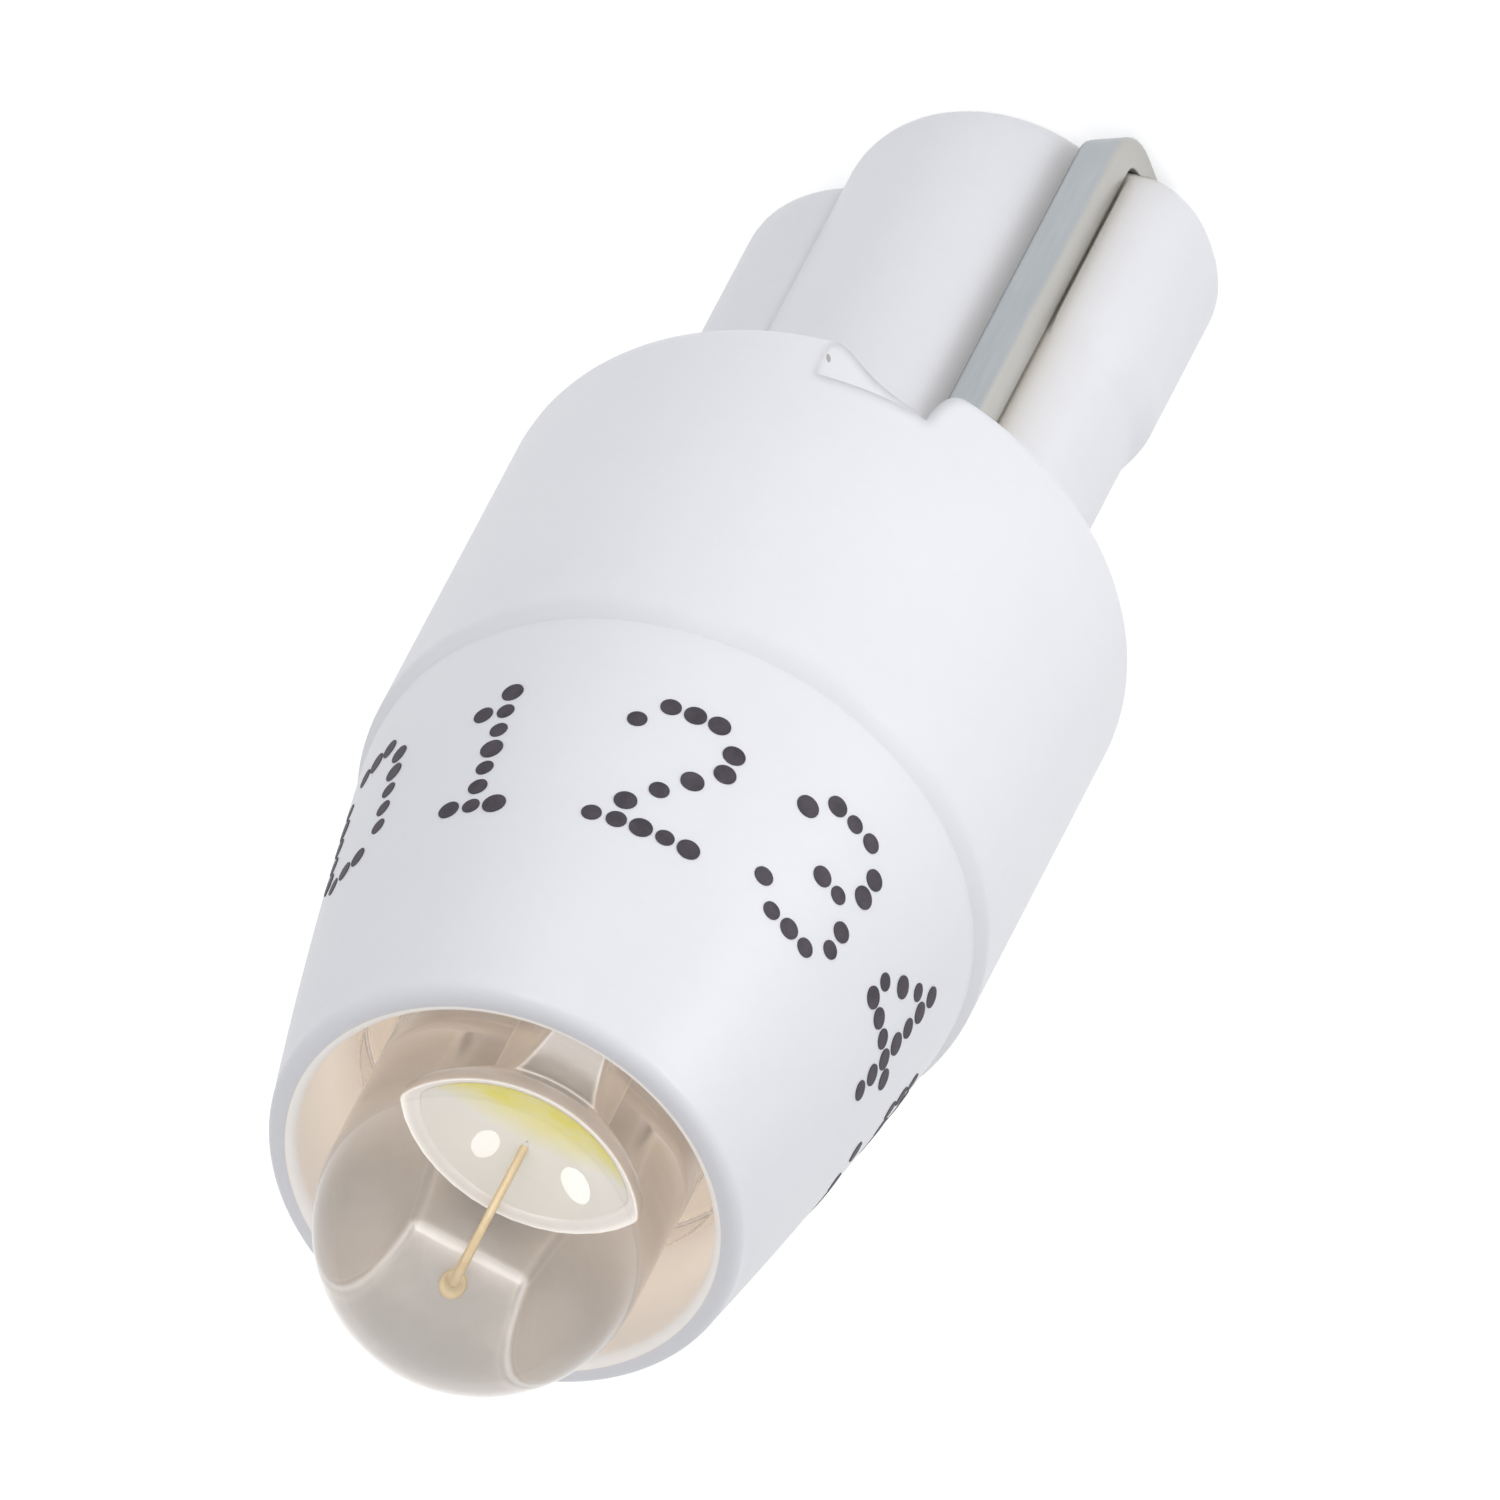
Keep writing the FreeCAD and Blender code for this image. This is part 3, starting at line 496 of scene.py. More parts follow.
def make_bond_wire():
    """Round gold wire, with a ball on the chip and a squashed foot on the post."""
    track = arc(WIRE_REACH, WIRE_START, WIRE_REACH, 180, 33.3, 28)
    rings = []
    for index, (a, b) in enumerate(track):
        ahead = Vector(track[min(index + 1, len(track) - 1)]) - Vector(track[max(index - 1, 0)])
        across = Vector((-ahead.y, ahead.x)).normalized()
        ring = []
        for step in range(WIRE_SIDES):
            angle = 2 * math.pi * step / WIRE_SIDES
            lift = across * WIRE_RADIUS * math.cos(angle)
            ring.append((a + lift.x, WIRE_RADIUS * math.sin(angle), b + lift.y))
        rings.append(ring)
    wire = lofted("gold_wire", rings)
    shape = bmesh.new()
    shape.from_mesh(wire.data)
    for place, width, height in (((0, 0, 14.04), 0.045, 0.03), ((0.942, 0, 14.31), 0.062, 0.026)):
        size = Matrix.Diagonal((width * MM, width * 0.8 * MM, height * MM, 1))
        turn = Matrix.Translation(Vector(place) * MM) @ size
        bmesh.ops.create_uvsphere(shape, u_segments=20, v_segments=12, radius=1, matrix=turn)
    shape.to_mesh(wire.data)
    shape.free()
    wire.data.transform(Matrix.Rotation(LEAD_TURN, 4, "Z"))
    face_outwards(wire)
    settle(wire, 50)
    return wire


def softened(node, name, width):
    """A CAD node's shape with its sharp edges broken, so that they catch the light."""
    piece = bpy.data.objects.new(name, node.data.copy())
    bpy.context.scene.collection.objects.link(piece)
    shape = bmesh.new()
    shape.from_mesh(piece.data)
    bmesh.ops.remove_doubles(shape, verts=shape.verts, dist=MERGE_REACH)
    bmesh.ops.dissolve_limit(shape, angle_limit=math.radians(1), verts=shape.verts, edges=shape.edges)
    shape.to_mesh(piece.data)
    shape.free()
    round_edges(piece, width, steps=2, angle=35)
    settle(piece)
    return piece


DIGIT_ROWS = {
    "0": (".###.", "#...#", "#...#", "#...#", "#...#", "#...#", ".###."),
    "1": ("..#..", ".##..", "..#..", "..#..", "..#..", "..#..", ".###."),
    "2": (".###.", "#...#", "....#", "...#.", "..#..", ".#...", "#####"),
    "3": (".###.", "#...#", "....#", "..##.", "....#", "#...#", ".###."),
    "4": ("...#.", "..##.", ".#.#.", "#..#.", "#####", "...#.", "...#."),
    "5": ("#####", "#....", "####.", "....#", "....#", "#...#", ".###."),
    "6": ("..##.", ".#...", "#....", "####.", "#...#", "#...#", ".###."),
    "7": ("#####", "....#", "...#.", "..#..", "..#..", "..#..", "..#.."),
    "8": (".###.", "#...#", "#...#", ".###.", "#...#", "#...#", ".###."),
    "9": (".###.", "#...#", "#...#", ".####", "....#", "...#.", ".##.."),
}


def print_points(digits):
    """One point for each dot of the printed digits: its height, the nose's radius there, and its angle."""
    points = []
    for place, digit in enumerate(digits):
        middle = FIRST_DIGIT + DIGIT_PITCH * place
        for row, line in enumerate(DIGIT_ROWS[digit]):
            height = PRINT_START + ROW_PITCH * row
            radius = nose_radius(height)
            for column, mark in enumerate(line):
                if mark == "#":
                    angle = middle - math.degrees((column - 2) * COLUMN_PITCH / radius)
                    points.append((height, radius, math.radians(angle)))
    return points


def calc(tree, operation, *values):
    """The result of a maths node on numbers and other nodes' results."""
    node = tree.nodes.new("ShaderNodeMath")
    node.operation = operation
    for socket, value in zip(node.inputs, values):
        if isinstance(value, (int, float)):
            socket.default_value = value
        else:
            tree.links.new(value, socket)
    return node.outputs[0]


def point_direction(tree, name):
    """A direction that every point of the print carries."""
    attribute = tree.nodes.new("GeometryNodeInputNamedAttribute")
    attribute.data_type = "FLOAT_VECTOR"
    attribute.inputs["Name"].default_value = name
    return attribute.outputs["Attribute"]


def dot_tree(ink):
    """Puts a flat ink drop on every point, tilted to the nose, each a little different."""
    tree = bpy.data.node_groups.new("ink_drops", "GeometryNodeTree")
    tree.is_modifier = True
    face = tree.interface
    face.new_socket("Geometry", in_out="INPUT", socket_type="NodeSocketGeometry")
    sizes = (("Drop Width", 0.205), ("Drop Height", 0.19), ("Drop Thickness", 0.012), ("Size Spread", 0.14))
    for name, value in sizes:
        socket = face.new_socket(name, in_out="INPUT", socket_type="NodeSocketFloat")
        socket.default_value = value
    face.new_socket("Geometry", in_out="OUTPUT", socket_type="NodeSocketGeometry")
    nodes, link = tree.nodes, tree.links.new
    start = nodes.new("NodeGroupInput")
    end = nodes.new("NodeGroupOutput")
    disc = nodes.new("GeometryNodeMeshCylinder")
    disc.inputs["Vertices"].default_value = 20
    disc.inputs["Radius"].default_value = 0.5 * MM
    disc.inputs["Depth"].default_value = 1.0 * MM
    size = nodes.new("ShaderNodeCombineXYZ")
    for axis, name in (("X", "Drop Width"), ("Y", "Drop Height"), ("Z", "Drop Thickness")):
        link(start.outputs[name], size.inputs[axis])
    spread = nodes.new("FunctionNodeRandomValue")
    spread.inputs["Seed"].default_value = 7
    link(calc(tree, "SUBTRACT", 1.0, start.outputs["Size Spread"]), spread.inputs[2])
    link(calc(tree, "ADD", 1.0, start.outputs["Size Spread"]), spread.inputs[3])
    scaled = nodes.new("ShaderNodeVectorMath")
    scaled.operation = "SCALE"
    link(size.outputs[0], scaled.inputs[0])
    link(spread.outputs[1], scaled.inputs["Scale"])
    axes = nodes.new("FunctionNodeAxesToRotation")
    axes.primary_axis = "Z"
    axes.secondary_axis = "X"
    link(point_direction(tree, "outward"), axes.inputs["Primary Axis"])
    link(point_direction(tree, "around"), axes.inputs["Secondary Axis"])
    place = nodes.new("GeometryNodeInstanceOnPoints")
    link(start.outputs["Geometry"], place.inputs["Points"])
    link(disc.outputs["Mesh"], place.inputs["Instance"])
    link(axes.outputs["Rotation"], place.inputs["Rotation"])
    link(scaled.outputs[0], place.inputs["Scale"])
    real = nodes.new("GeometryNodeRealizeInstances")
    link(place.outputs["Instances"], real.inputs["Geometry"])
    paint = nodes.new("GeometryNodeSetMaterial")
    paint.inputs["Material"].default_value = ink
    link(real.outputs["Geometry"], paint.inputs["Geometry"])
    link(paint.outputs["Geometry"], end.inputs["Geometry"])
    return tree


def make_print(ink):
    """Plain counting digits in dots round the nose."""
    verts = []
    outward = []
    around = []
    for height, radius, angle in print_points("1234567890"):
        reach = radius + INK_LIFT
        verts.append((reach * math.cos(angle), reach * math.sin(angle), height))
        outward.append(Vector((math.cos(angle), math.sin(angle), NOSE_SLOPE)).normalized())
        around.append(Vector((-math.sin(angle), math.cos(angle), 0)))
    drops = mesh_piece("printed_digits", verts, [])
    for name, values in (("outward", outward), ("around", around)):
        layer = drops.data.attributes.new(name, "FLOAT_VECTOR", "POINT")
        for index, value in enumerate(values):
            layer.data[index].vector = value
    modifier = drops.modifiers.new("drops", "NODES")
    modifier.node_group = dot_tree(ink)
    settle(drops, 50)
    return drops


def new_material(name):
    """A material with its node tree and its shader."""
    material = bpy.data.materials.new(name)
    material.use_nodes = True
    tree = material.node_tree
    return material, tree, tree.nodes["Principled BSDF"]


def shade_group(name, outputs, inputs):
    """An empty shader node group with named inputs and outputs."""
    tree = bpy.data.node_groups.new(name, "ShaderNodeTree")
    for label, value in inputs:
        socket = tree.interface.new_socket(label, in_out="INPUT", socket_type="NodeSocketFloat")
        socket.default_value = value
    for label, kind in outputs:
        tree.interface.new_socket(label, in_out="OUTPUT", socket_type=kind)
    return tree, tree.nodes.new("NodeGroupInput"), tree.nodes.new("NodeGroupOutput")


def place_group(tree, group, **values):
    """Places a node group in a material with its own values."""
    item = tree.nodes.new("ShaderNodeGroup")
    item.node_tree = group
    for name, value in values.items():
        item.inputs[name.replace("_", " ").title()].default_value = value
    return item


def place_on_piece(tree):
    """The point's place in the part's frame, in metres: across the wings, square to them, and up."""
    place = tree.nodes.new("ShaderNodeTexCoord")
    split = tree.nodes.new("ShaderNodeSeparateXYZ")
    tree.links.new(place.outputs["Object"], split.inputs[0])
    return split.outputs


def grain_group():
    """Fine moulded or rolled grain: a slow mottle, a fine mottle and the bump they make."""
    tree, start, end = shade_group(
        "surface_grain",
        [("Mottle", "NodeSocketFloat"), ("Normal", "NodeSocketVector")],
        [("Coarse Scale", 900.0), ("Fine Scale", 9000.0), ("Height", 2 * MICRON), ("Stretch", 1.0)])
    link = tree.links.new
    place = tree.nodes.new("ShaderNodeTexCoord")
    stretch = tree.nodes.new("ShaderNodeCombineXYZ")
    stretch.inputs["X"].default_value = 1.0
    stretch.inputs["Y"].default_value = 1.0
    link(start.outputs["Stretch"], stretch.inputs["Z"])
    pulled = tree.nodes.new("ShaderNodeVectorMath")
    pulled.operation = "MULTIPLY"
    link(place.outputs["Object"], pulled.inputs[0])
    link(stretch.outputs[0], pulled.inputs[1])
    mottles = []
    for scale, detail in (("Coarse Scale", 3.0), ("Fine Scale", 4.0)):
        noise = tree.nodes.new("ShaderNodeTexNoise")
        noise.inputs["Detail"].default_value = detail
        link(pulled.outputs[0], noise.inputs["Vector"])
        link(start.outputs[scale], noise.inputs["Scale"])
        mottles.append(noise.outputs["Fac"])
    coarse, fine = mottles
    both = calc(tree, "MULTIPLY_ADD", fine, 0.35, coarse)
    bump = tree.nodes.new("ShaderNodeBump")
    bump.inputs["Strength"].default_value = 1.0
    link(start.outputs["Height"], bump.inputs["Distance"])
    link(both, bump.inputs["Height"])
    link(both, end.inputs["Mottle"])
    link(bump.outputs["Normal"], end.inputs["Normal"])
    return tree


def speck_group():
    """Mask of sparse dust specks: a few cells of a Voronoi pattern hold a small dot."""
    tree, start, end = shade_group(
        "dust_specks",
        [("Mask", "NodeSocketFloat")],
        [("Cells", 1500.0), ("Size", 0.05), ("Share", 0.12)])
    link = tree.links.new
    place = tree.nodes.new("ShaderNodeTexCoord")
    cells = tree.nodes.new("ShaderNodeTexVoronoi")
    link(place.outputs["Object"], cells.inputs["Vector"])
    link(start.outputs["Cells"], cells.inputs["Scale"])
    split = tree.nodes.new("ShaderNodeSeparateColor")
    link(cells.outputs["Color"], split.inputs["Color"])
    near = calc(tree, "LESS_THAN", cells.outputs["Distance"], start.outputs["Size"])
    chosen = calc(tree, "LESS_THAN", split.outputs["Red"], start.outputs["Share"])
    link(calc(tree, "MULTIPLY", near, chosen), end.inputs["Mask"])
    return tree


def place_mask_group():
    """Masks by place for painted light and shade: the inside of the nose's mouth, its lip, and the wing
    beside each contact strip.
    """
    tree, start, end = shade_group(
        "painted_light_masks",
        [("Inside", "NodeSocketFloat"), ("Painted Lip Highlight", "NodeSocketFloat"), ("Painted Strip Shade", "NodeSocketFloat")],
        [("Mouth Radius", (MOUTH_RADIUS + 0.09) * MM), ("Mouth Depth", (NOSE_FRONT - 0.17) * MM),
         ("Painted Shade Reach", 0.5 * MM)])

    def all_of(*masks):
        result = masks[0]
        for mask in masks[1:]:
            result = calc(tree, "MULTIPLY", result, mask)
        return result

    across, along, height = place_on_piece(tree)
    square = calc(tree, "ADD", all_of(across, across), all_of(along, along))
    radius = calc(tree, "SQRT", square)

    # Painted light inside the mouth, strongest deep in it and weaker towards the lip.
    within = calc(tree, "LESS_THAN", radius, start.outputs["Mouth Radius"])
    above = calc(tree, "GREATER_THAN", height, (SEAT_BACK - 0.1) * MM)
    depth = tree.nodes.new("ShaderNodeMapRange")
    depth.inputs["From Min"].default_value = (FLANGE_FRONT + 0.4) * MM
    depth.inputs["To Min"].default_value = 1.0
    depth.inputs["To Max"].default_value = 0.6
    tree.links.new(height, depth.inputs["Value"])
    tree.links.new(start.outputs["Mouth Depth"], depth.inputs["From Max"])
    tree.links.new(all_of(within, above, depth.outputs["Result"]), end.inputs["Inside"])

    # Painted highlight along the lip's inner edge.
    front = calc(tree, "GREATER_THAN", height, (NOSE_FRONT - 0.09) * MM)
    inner = calc(tree, "LESS_THAN", radius, (MOUTH_RADIUS + 0.075) * MM)
    tree.links.new(all_of(front, inner), end.inputs["Painted Lip Highlight"])

    # Painted shade on the wing's faces beside each strip, fading over the reach from the strip's edge.
    side = calc(tree, "MULTIPLY", across, calc(tree, "SIGN", along))
    middle = calc(tree, "ABSOLUTE", calc(tree, "SUBTRACT", side, STRIP_MIDDLE * MM))
    gap = calc(tree, "SUBTRACT", middle, (STRIP_RIGHT - STRIP_MIDDLE) * MM)
    near = calc(tree, "SUBTRACT", 1.0, calc(tree, "DIVIDE", gap, start.outputs["Painted Shade Reach"]))
    fade = calc(tree, "POWER", calc(tree, "MAXIMUM", near, 0.0), 2.2)
    on_face = calc(tree, "GREATER_THAN", calc(tree, "ABSOLUTE", along), 0.5 * MM)
    on_wing = calc(tree, "LESS_THAN", height, (SHOULDER - 0.26) * MM)
    tree.links.new(all_of(fade, on_face, on_wing), end.inputs["Painted Strip Shade"])
    return tree


GRAIN = grain_group()
SPECKS = speck_group()
PLACES = place_mask_group()


def blend_colours(tree, mask, low, high, start=0.0, end=1.0):
    """A colour that goes from low to high as the mask goes from start to end."""
    ramp = tree.nodes.new("ShaderNodeMapRange")
    ramp.inputs["From Min"].default_value = start
    ramp.inputs["From Max"].default_value = end
    tree.links.new(mask, ramp.inputs["Value"])
    mix = tree.nodes.new("ShaderNodeMix")
    mix.data_type = "RGBA"
    tree.links.new(ramp.outputs["Result"], mix.inputs["Factor"])
    for socket, colour in ((6, low), (7, high)):
        if isinstance(colour, tuple):
            mix.inputs[socket].default_value = colour + (1.0,)
        else:
            tree.links.new(colour, mix.inputs[socket])
    return mix.outputs[2]


def softening(tree, radius, samples):
    """A node that bends the normals near an edge, as if the edge were rounded."""
    soft = tree.nodes.new("ShaderNodeBevel")
    soft.samples = samples
    soft.inputs["Radius"].default_value = radius * MM
    return soft


def white_plastic(name, rounding):
    """Satin white moulded plastic with a slight mottle and a few dust specks; painted shade on the wings
    beside the strips, painted warm light and glow on the mouth's wall, and a painted highlight on its lip.
    """
    material, tree, shader = new_material(name)
    grain = place_group(tree, GRAIN, coarse_scale=420.0, fine_scale=5200.0, height=1.2 * MICRON)
    specks = place_group(tree, SPECKS, cells=900.0, size=0.035, share=0.10)
    places = place_group(tree, PLACES)
    pale, paler = (0.805, 0.806, 0.842), (0.838, 0.838, 0.866)
    colour = blend_colours(tree, grain.outputs["Mottle"], pale, paler, 0.35, 0.95)
    # Painted shade: the wing beside each strip turns warm and darker.
    colour = blend_colours(tree, places.outputs["Painted Strip Shade"], colour, (0.66, 0.62, 0.56))
    # Painted light: the mouth's wall turns warm tan, as if lit through the plastic.
    colour = blend_colours(tree, places.outputs["Inside"], colour, (0.87, 0.80, 0.72))
    colour = blend_colours(tree, specks.outputs["Mask"], colour, (0.42, 0.39, 0.37))
    tree.links.new(colour, shader.inputs["Base Color"])
    # Painted light: the mouth's wall glows warm, though it is no lamp.
    painted_mouth_glow = blend_colours(tree, places.outputs["Inside"], (0.0, 0.0, 0.0), (0.90, 0.80, 0.70))
    # Painted highlight: the lip glows grey.
    painted_mouth_glow = blend_colours(tree, places.outputs["Painted Lip Highlight"], painted_mouth_glow, (0.5, 0.5, 0.5))
    tree.links.new(painted_mouth_glow, shader.inputs["Emission Color"])
    shader.inputs["Emission Strength"].default_value = 0.4
    soft = softening(tree, rounding, samples=3)
    tree.links.new(grain.outputs["Normal"], soft.inputs["Normal"])
    tree.links.new(soft.outputs["Normal"], shader.inputs["Normal"])
    shader.inputs["Roughness"].default_value = 0.38
    shader.inputs["IOR"].default_value = 1.5
    shader.inputs["Subsurface Weight"].default_value = 0.12
    shader.inputs["Subsurface Radius"].default_value = (0.5, 0.42, 0.36)
    shader.inputs["Subsurface Scale"].default_value = 0.6 * MM
    return material


def dull(name, low, high, roughness, coarse, fine, height, stretch=1.0):
    """Non-metal with a mottled tone and a fine grain."""
    material, tree, shader = new_material(name)
    grain = place_group(tree, GRAIN, coarse_scale=coarse, fine_scale=fine, height=height, stretch=stretch)
    colour = blend_colours(tree, grain.outputs["Mottle"], low, high, 0.4, 0.95)
    tree.links.new(colour, shader.inputs["Base Color"])
    tree.links.new(grain.outputs["Normal"], shader.inputs["Normal"])
    shader.inputs["Roughness"].default_value = roughness
    return material


def metal(*looks):
    """Plain metal with a mottled tone and a fine drawn or plated grain."""
    material = dull(*looks)
    material.node_tree.nodes["Principled BSDF"].inputs["Metallic"].default_value = 1.0
    return material


def clear_resin():
    """Clear cast resin of the dome, which lets the lamps' light through."""
    material, tree, shader = new_material("clear_resin")
    grain = place_group(tree, GRAIN, coarse_scale=700.0, fine_scale=2600.0, height=0.3 * MICRON)
    warm, pale = (0.895, 0.845, 0.80), (0.92, 0.875, 0.835)
    colour = blend_colours(tree, grain.outputs["Mottle"], warm, pale, 0.4, 0.95)
    tree.links.new(colour, shader.inputs["Base Color"])
    tree.links.new(grain.outputs["Normal"], shader.inputs["Normal"])
    shader.inputs["Transmission Weight"].default_value = 0.985
    shader.inputs["Roughness"].default_value = 0.0
    shader.inputs["IOR"].default_value = 1.52
    path = tree.nodes.new("ShaderNodeLightPath")
    solid = calc(tree, "SUBTRACT", 1.0, path.outputs["Is Shadow Ray"])
    tree.links.new(solid, shader.inputs["Alpha"])
    return material


def phosphor_fill():
    """Phosphor in the cup: whitish over the chip, strong yellow towards the side that faces the lead."""
    material, tree, shader = new_material("phosphor_fill")
    grain = place_group(tree, GRAIN, coarse_scale=4000.0, fine_scale=22000.0, height=3 * MICRON)
    place = tree.nodes.new("ShaderNodeTexCoord")
    along = tree.nodes.new("ShaderNodeVectorMath")
    along.operation = "DOT_PRODUCT"
    along.inputs[1].default_value = (math.sin(VIEW_TURN), math.cos(VIEW_TURN), 0)
    tree.links.new(place.outputs["Object"], along.inputs[0])
    white, yellow = (0.93, 0.925, 0.87), (0.93, 0.87, 0.18)
    body = blend_colours(tree, along.outputs["Value"], white, yellow, -0.04 * MM, 0.22 * MM)
    colour = blend_colours(tree, grain.outputs["Mottle"], body, (0.96, 0.95, 0.90), 0.55, 1.4)
    tree.links.new(colour, shader.inputs["Base Color"])
    tree.links.new(grain.outputs["Normal"], shader.inputs["Normal"])
    shader.inputs["Roughness"].default_value = 0.4
    return material


def tinned_strip():
    """Drawn tinned metal, with painted light on the strip's outer side wall and painted shade along its inner
    edge.
    """
    finish = metal("tinned_strip", (0.32, 0.35, 0.365), (0.44, 0.465, 0.48), 0.34,
                   1400.0, 16000.0, 1.6 * MICRON, 0.12)
    tree = finish.node_tree
    shader = tree.nodes["Principled BSDF"]
    drawn = shader.inputs["Base Color"].links[0].from_socket
    across, along, _ = place_on_piece(tree)
    side = calc(tree, "MULTIPLY", across, calc(tree, "SIGN", along))
    # Painted light: the strip's outer side wall is paler.
    lit_side_start, lit_side_end = (STRIP_RIGHT - 0.055) * MM, STRIP_RIGHT * MM
    colour = blend_colours(tree, side, drawn, (0.47, 0.462, 0.435), lit_side_start, lit_side_end)
    # Painted shade: a dark band along the strip's inner edge, beside the core.
    shade_start, shade_end = (STRIP_LEFT + 0.015) * MM, (STRIP_LEFT + 0.05) * MM
    colour = blend_colours(tree, side, (0.15, 0.16, 0.165), colour, shade_start, shade_end)
    tree.links.new(colour, shader.inputs["Base Color"])
    return finish


def leadframe():
    """Silvered metal whose broken edges carry a painted highlight and a painted glint, brighter than its
    faces.
    """
    finish = metal("silvered_leadframe", (0.87, 0.845, 0.82), (0.96, 0.94, 0.92), 0.34,
                   2500.0, 20000.0, 1.2 * MICRON)
    tree = finish.node_tree
    shader = tree.nodes["Principled BSDF"]
    face = shader.inputs["Base Color"].links[0].from_socket
    rounded = softening(tree, 0.055, samples=4)
    flat = tree.nodes.new("ShaderNodeNewGeometry")
    alike = tree.nodes.new("ShaderNodeVectorMath")
    alike.operation = "DOT_PRODUCT"
    tree.links.new(rounded.outputs["Normal"], alike.inputs[0])
    tree.links.new(flat.outputs["Normal"], alike.inputs[1])
    # Painted highlight: the broken edges are lighter in colour and glow, as if catching the light.
    painted_edge_highlight = blend_colours(tree, alike.outputs["Value"], face, (1.0, 0.99, 0.97), 0.995, 0.93)
    tree.links.new(painted_edge_highlight, shader.inputs["Base Color"])
    painted_edge_glint = blend_colours(tree, alike.outputs["Value"], (0.0, 0.0, 0.0), (1.0, 0.98, 0.95), 0.995, 0.90)
    tree.links.new(painted_edge_glint, shader.inputs["Emission Color"])
    shader.inputs["Emission Strength"].default_value = 0.45
    shader.inputs["Metallic"].default_value = 0.6
    return finish


def ink():
    """Dark printing ink, a little uneven in tone."""
    return dull("printing_ink", (0.016, 0.012, 0.018), (0.055, 0.042, 0.058), 0.6,
                6000.0, 30000.0, 2 * MICRON)


def finishes():
    """Every finish by the name of the record's slot."""
    return {
        "white_plastic": white_plastic("white_plastic", 0.06),
        "tinned_strip": tinned_strip(),
        "clear_resin": clear_resin(),
        "leadframe": leadframe(),
        "phosphor": phosphor_fill(),
        "gold_wire": metal("gold_wire", (0.84, 0.66, 0.38), (0.95, 0.82, 0.56), 0.42,
                           9000.0, 40000.0, 0.8 * MICRON),
        "chip": dull("chip_face", (0.25, 0.33, 0.42), (0.45, 0.52, 0.60), 0.25,
                     9000.0, 40000.0, 0.5 * MICRON),
        "board": dull("board_green", (0.02, 0.10, 0.04), (0.05, 0.18, 0.08), 0.45,
                      1500.0, 12000.0, 3 * MICRON),
        "copper": metal("board_copper", (0.60, 0.32, 0.18), (0.78, 0.46, 0.28), 0.35,
                        3000.0, 18000.0, 2 * MICRON),
        "resistor_body": dull("resistor_glaze", (0.012, 0.012, 0.014), (0.03, 0.03, 0.034), 0.4,
                              5000.0, 26000.0, 2 * MICRON),
        "tinned_end": metal("tinned_end", (0.52, 0.53, 0.54), (0.68, 0.69, 0.70), 0.4,
                            5000.0, 24000.0, 3 * MICRON),
        "diode_body": dull("diode_moulding", (0.010, 0.010, 0.012), (0.028, 0.028, 0.03), 0.55,
                           3000.0, 20000.0, 4 * MICRON),
        "solder": metal("solder_joint", (0.50, 0.51, 0.53), (0.72, 0.73, 0.74), 0.22,
                        2600.0, 15000.0, 4 * MICRON),
    }


def dress(piece, finish):
    """Gives the whole piece one finish."""
    piece.data.materials.clear()
    piece.data.materials.append(finish)


def stand_for(piece, node, finish):
    """Gives the piece its finish and a node's place on the lamp's one body."""
    dress(piece, finish)
    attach(piece, "root")
    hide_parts(node)


def view_axes():
    """The picture's right and up, and the direction towards the camera."""
    across = Vector((math.cos(VIEW_TURN), -math.sin(VIEW_TURN), 0))
    towards = Vector((math.sin(VIEW_TURN), math.cos(VIEW_TURN), 0))
    view = towards * math.cos(VIEW_LIFT) + Vector((0, 0, 1)) * math.sin(VIEW_LIFT)
    level_up = Vector((0, 0, 1)) * math.cos(VIEW_LIFT) - towards * math.sin(VIEW_LIFT)
    right = across * math.sin(VIEW_LEAN) - level_up * math.cos(VIEW_LEAN)
    up = -across * math.cos(VIEW_LEAN) - level_up * math.sin(VIEW_LEAN)
    return right, up, view


def add_camera():
    """The photograph's view: past the dome, from above, rolled so that the lamp leans over."""
    right, up, view = view_axes()
    across = Vector((math.cos(VIEW_TURN), -math.sin(VIEW_TURN), 0))
    aim = (across * AIM_ACROSS + Vector((0, 0, AIM_HEIGHT))) * MM
    data = bpy.data.cameras.new("photo_camera")
    data.lens = data.sensor_width * CAMERA_DISTANCE / (VIEW_SPAN * MM)
    data.clip_start = 0.01
    data.clip_end = 20
    camera = bpy.data.objects.new("photo_camera", data)
    turn = Matrix((right, up, view)).transposed().to_4x4()
    camera.matrix_world = Matrix.Translation(aim + view * CAMERA_DISTANCE) @ turn
    bpy.context.scene.collection.objects.link(camera)
    bpy.context.scene.camera = camera


def add_lamp(name, along, distance, width, height, glow):
    """An oval soft box, sized in metres and placed by picture right, up and towards the camera."""
    right, up, view = view_axes()
    heading = (right * along[0] + up * along[1] + view * along[2]).normalized()
    data = bpy.data.lights.new(name, "AREA")
    data.shape = "ELLIPSE"
    data.size = width
    data.size_y = height
    data.energy = glow * math.pi * width * height
    lamp = bpy.data.objects.new(name, data)
    aim = Vector((0, 0, 15 * MM))
    turn = heading.to_track_quat("Z", "Y").to_matrix().to_4x4()
    lamp.matrix_world = Matrix.Translation(aim + heading * distance) @ turn
    bpy.context.scene.collection.objects.link(lamp)


def seen_directly(tree):
    """One for camera, glossy and transmission rays, nought for the rays that light the object."""
    path = tree.nodes.new("ShaderNodeLightPath")
    first = calc(tree, "MAXIMUM", path.outputs["Is Camera Ray"], path.outputs["Is Glossy Ray"])
    return calc(tree, "MAXIMUM", first, path.outputs["Is Transmission Ray"])


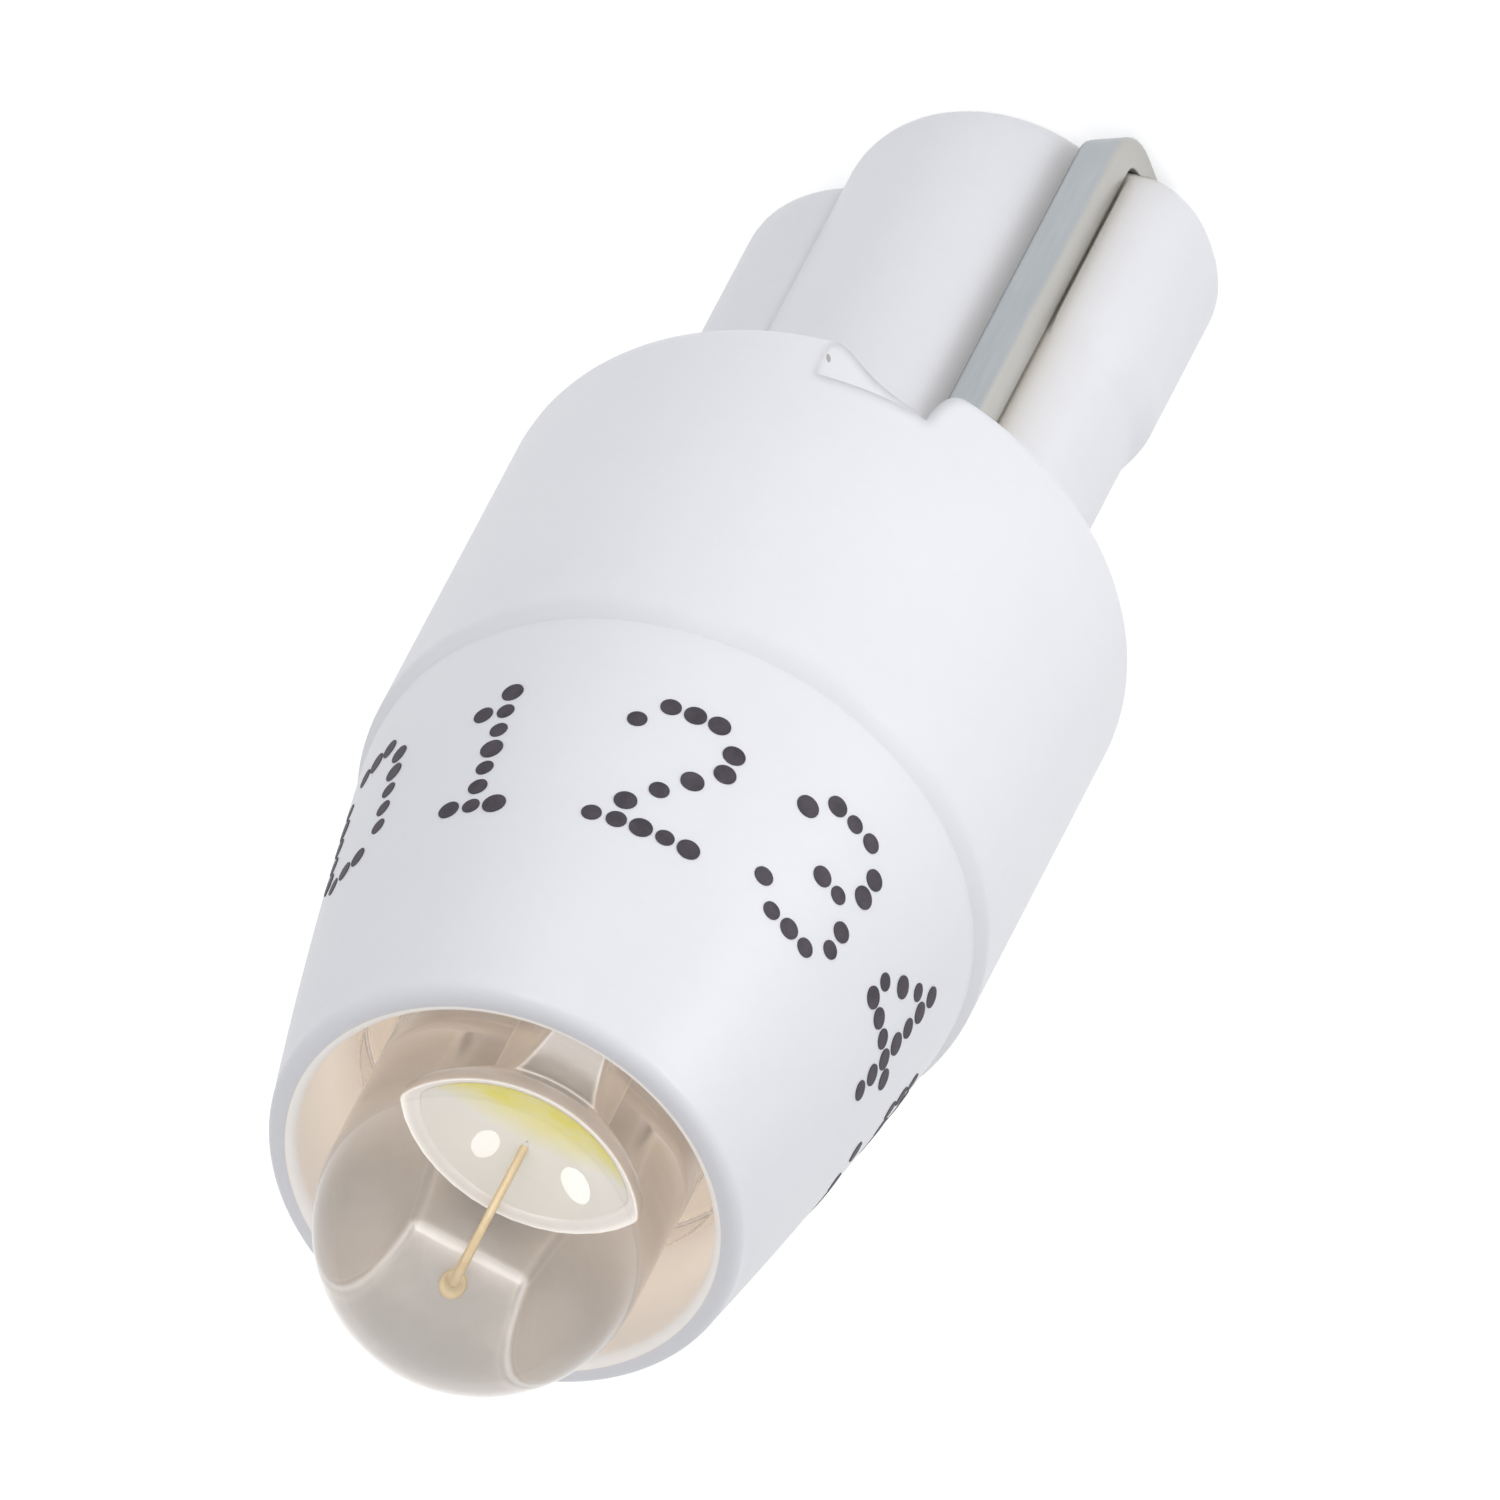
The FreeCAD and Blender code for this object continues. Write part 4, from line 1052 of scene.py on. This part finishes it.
def add_floor():
    """A pale floor under the lamp that shows white but keeps the lamp's shadow."""
    half = 900
    corners = [(-half, -half, 0), (half, -half, 0), (half, half, 0), (-half, half, 0)]
    floor = mesh_piece("floor", corners, [(0, 1, 2, 3)])
    material, tree, shader = new_material("floor_white")
    shader.inputs["Base Color"].default_value = (0.86, 0.86, 0.86, 1)
    shader.inputs["Roughness"].default_value = 0.9
    glow = tree.nodes.new("ShaderNodeEmission")
    tree.links.new(calc(tree, "MULTIPLY", seen_directly(tree), 0.52), glow.inputs["Strength"])
    both = tree.nodes.new("ShaderNodeAddShader")
    tree.links.new(shader.outputs[0], both.inputs[0])
    tree.links.new(glow.outputs[0], both.inputs[1])
    tree.links.new(both.outputs[0], tree.nodes["Material Output"].inputs["Surface"])
    dress(floor, material)


def add_world():
    """A studio that shows white, and lights the lamp with a dimmer, slightly blue light."""
    world = bpy.data.worlds.new("studio")
    bpy.context.scene.world = world
    world.use_nodes = True
    tree = world.node_tree
    back = tree.nodes["Background"]
    seen = seen_directly(tree)
    amount = tree.nodes.new("ShaderNodeMapRange")
    amount.inputs["To Min"].default_value = 0.615
    amount.inputs["To Max"].default_value = 1.0
    tree.links.new(seen, amount.inputs["Value"])
    tree.links.new(blend_colours(tree, seen, (0.962, 0.976, 1.0), (1.0, 1.0, 1.0)), back.inputs["Color"])
    tree.links.new(amount.outputs["Result"], back.inputs["Strength"])


add_camera()
kinds = finishes()
nodes = frame["nodes"]
slots = {entry["node"]: entry["material_slot"] for entry in frame["record"]["subparts"]}
for node_name, node in nodes.items():
    dress(node, kinds[slots[node_name]])

stand_for(make_nose_shell(), "nose_cap", kinds["white_plastic"])
stand_for(make_base_shell(), "base_housing", white_plastic("white_plastic_base", 0.2))

strip_right, strip_left = make_strips()
stand_for(strip_right, "contact_strip_right", kinds["tinned_strip"])
stand_for(strip_left, "contact_strip_left", kinds["tinned_strip"])

stand_for(make_lens(), "led_lens", kinds["clear_resin"])
for node_name, piece_name in (("led_cathode_frame", "cathode_frame"), ("led_anode_frame", "anode_frame")):
    frame_piece = softened(nodes[node_name], piece_name, 0.036)
    stand_for(frame_piece, node_name, kinds["leadframe"])
stand_for(make_bond_wire(), "led_bond_wire", kinds["gold_wire"])

digits = make_print(ink())
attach(digits, "root")

add_floor()
add_world()
add_lamp("right_box", along=(0.868, 0.391, 0.306), distance=0.03, width=0.0118, height=0.0098, glow=5.2)
add_lamp("upper_box", along=(0.031, 0.847, 0.531), distance=0.04, width=0.0112, height=0.0150, glow=4.6)
add_lamp("front_box", along=(-0.25, -0.35, 0.9), distance=0.16, width=0.16, height=0.16, glow=0.3)

bpy.context.scene.view_settings.view_transform = "Standard"
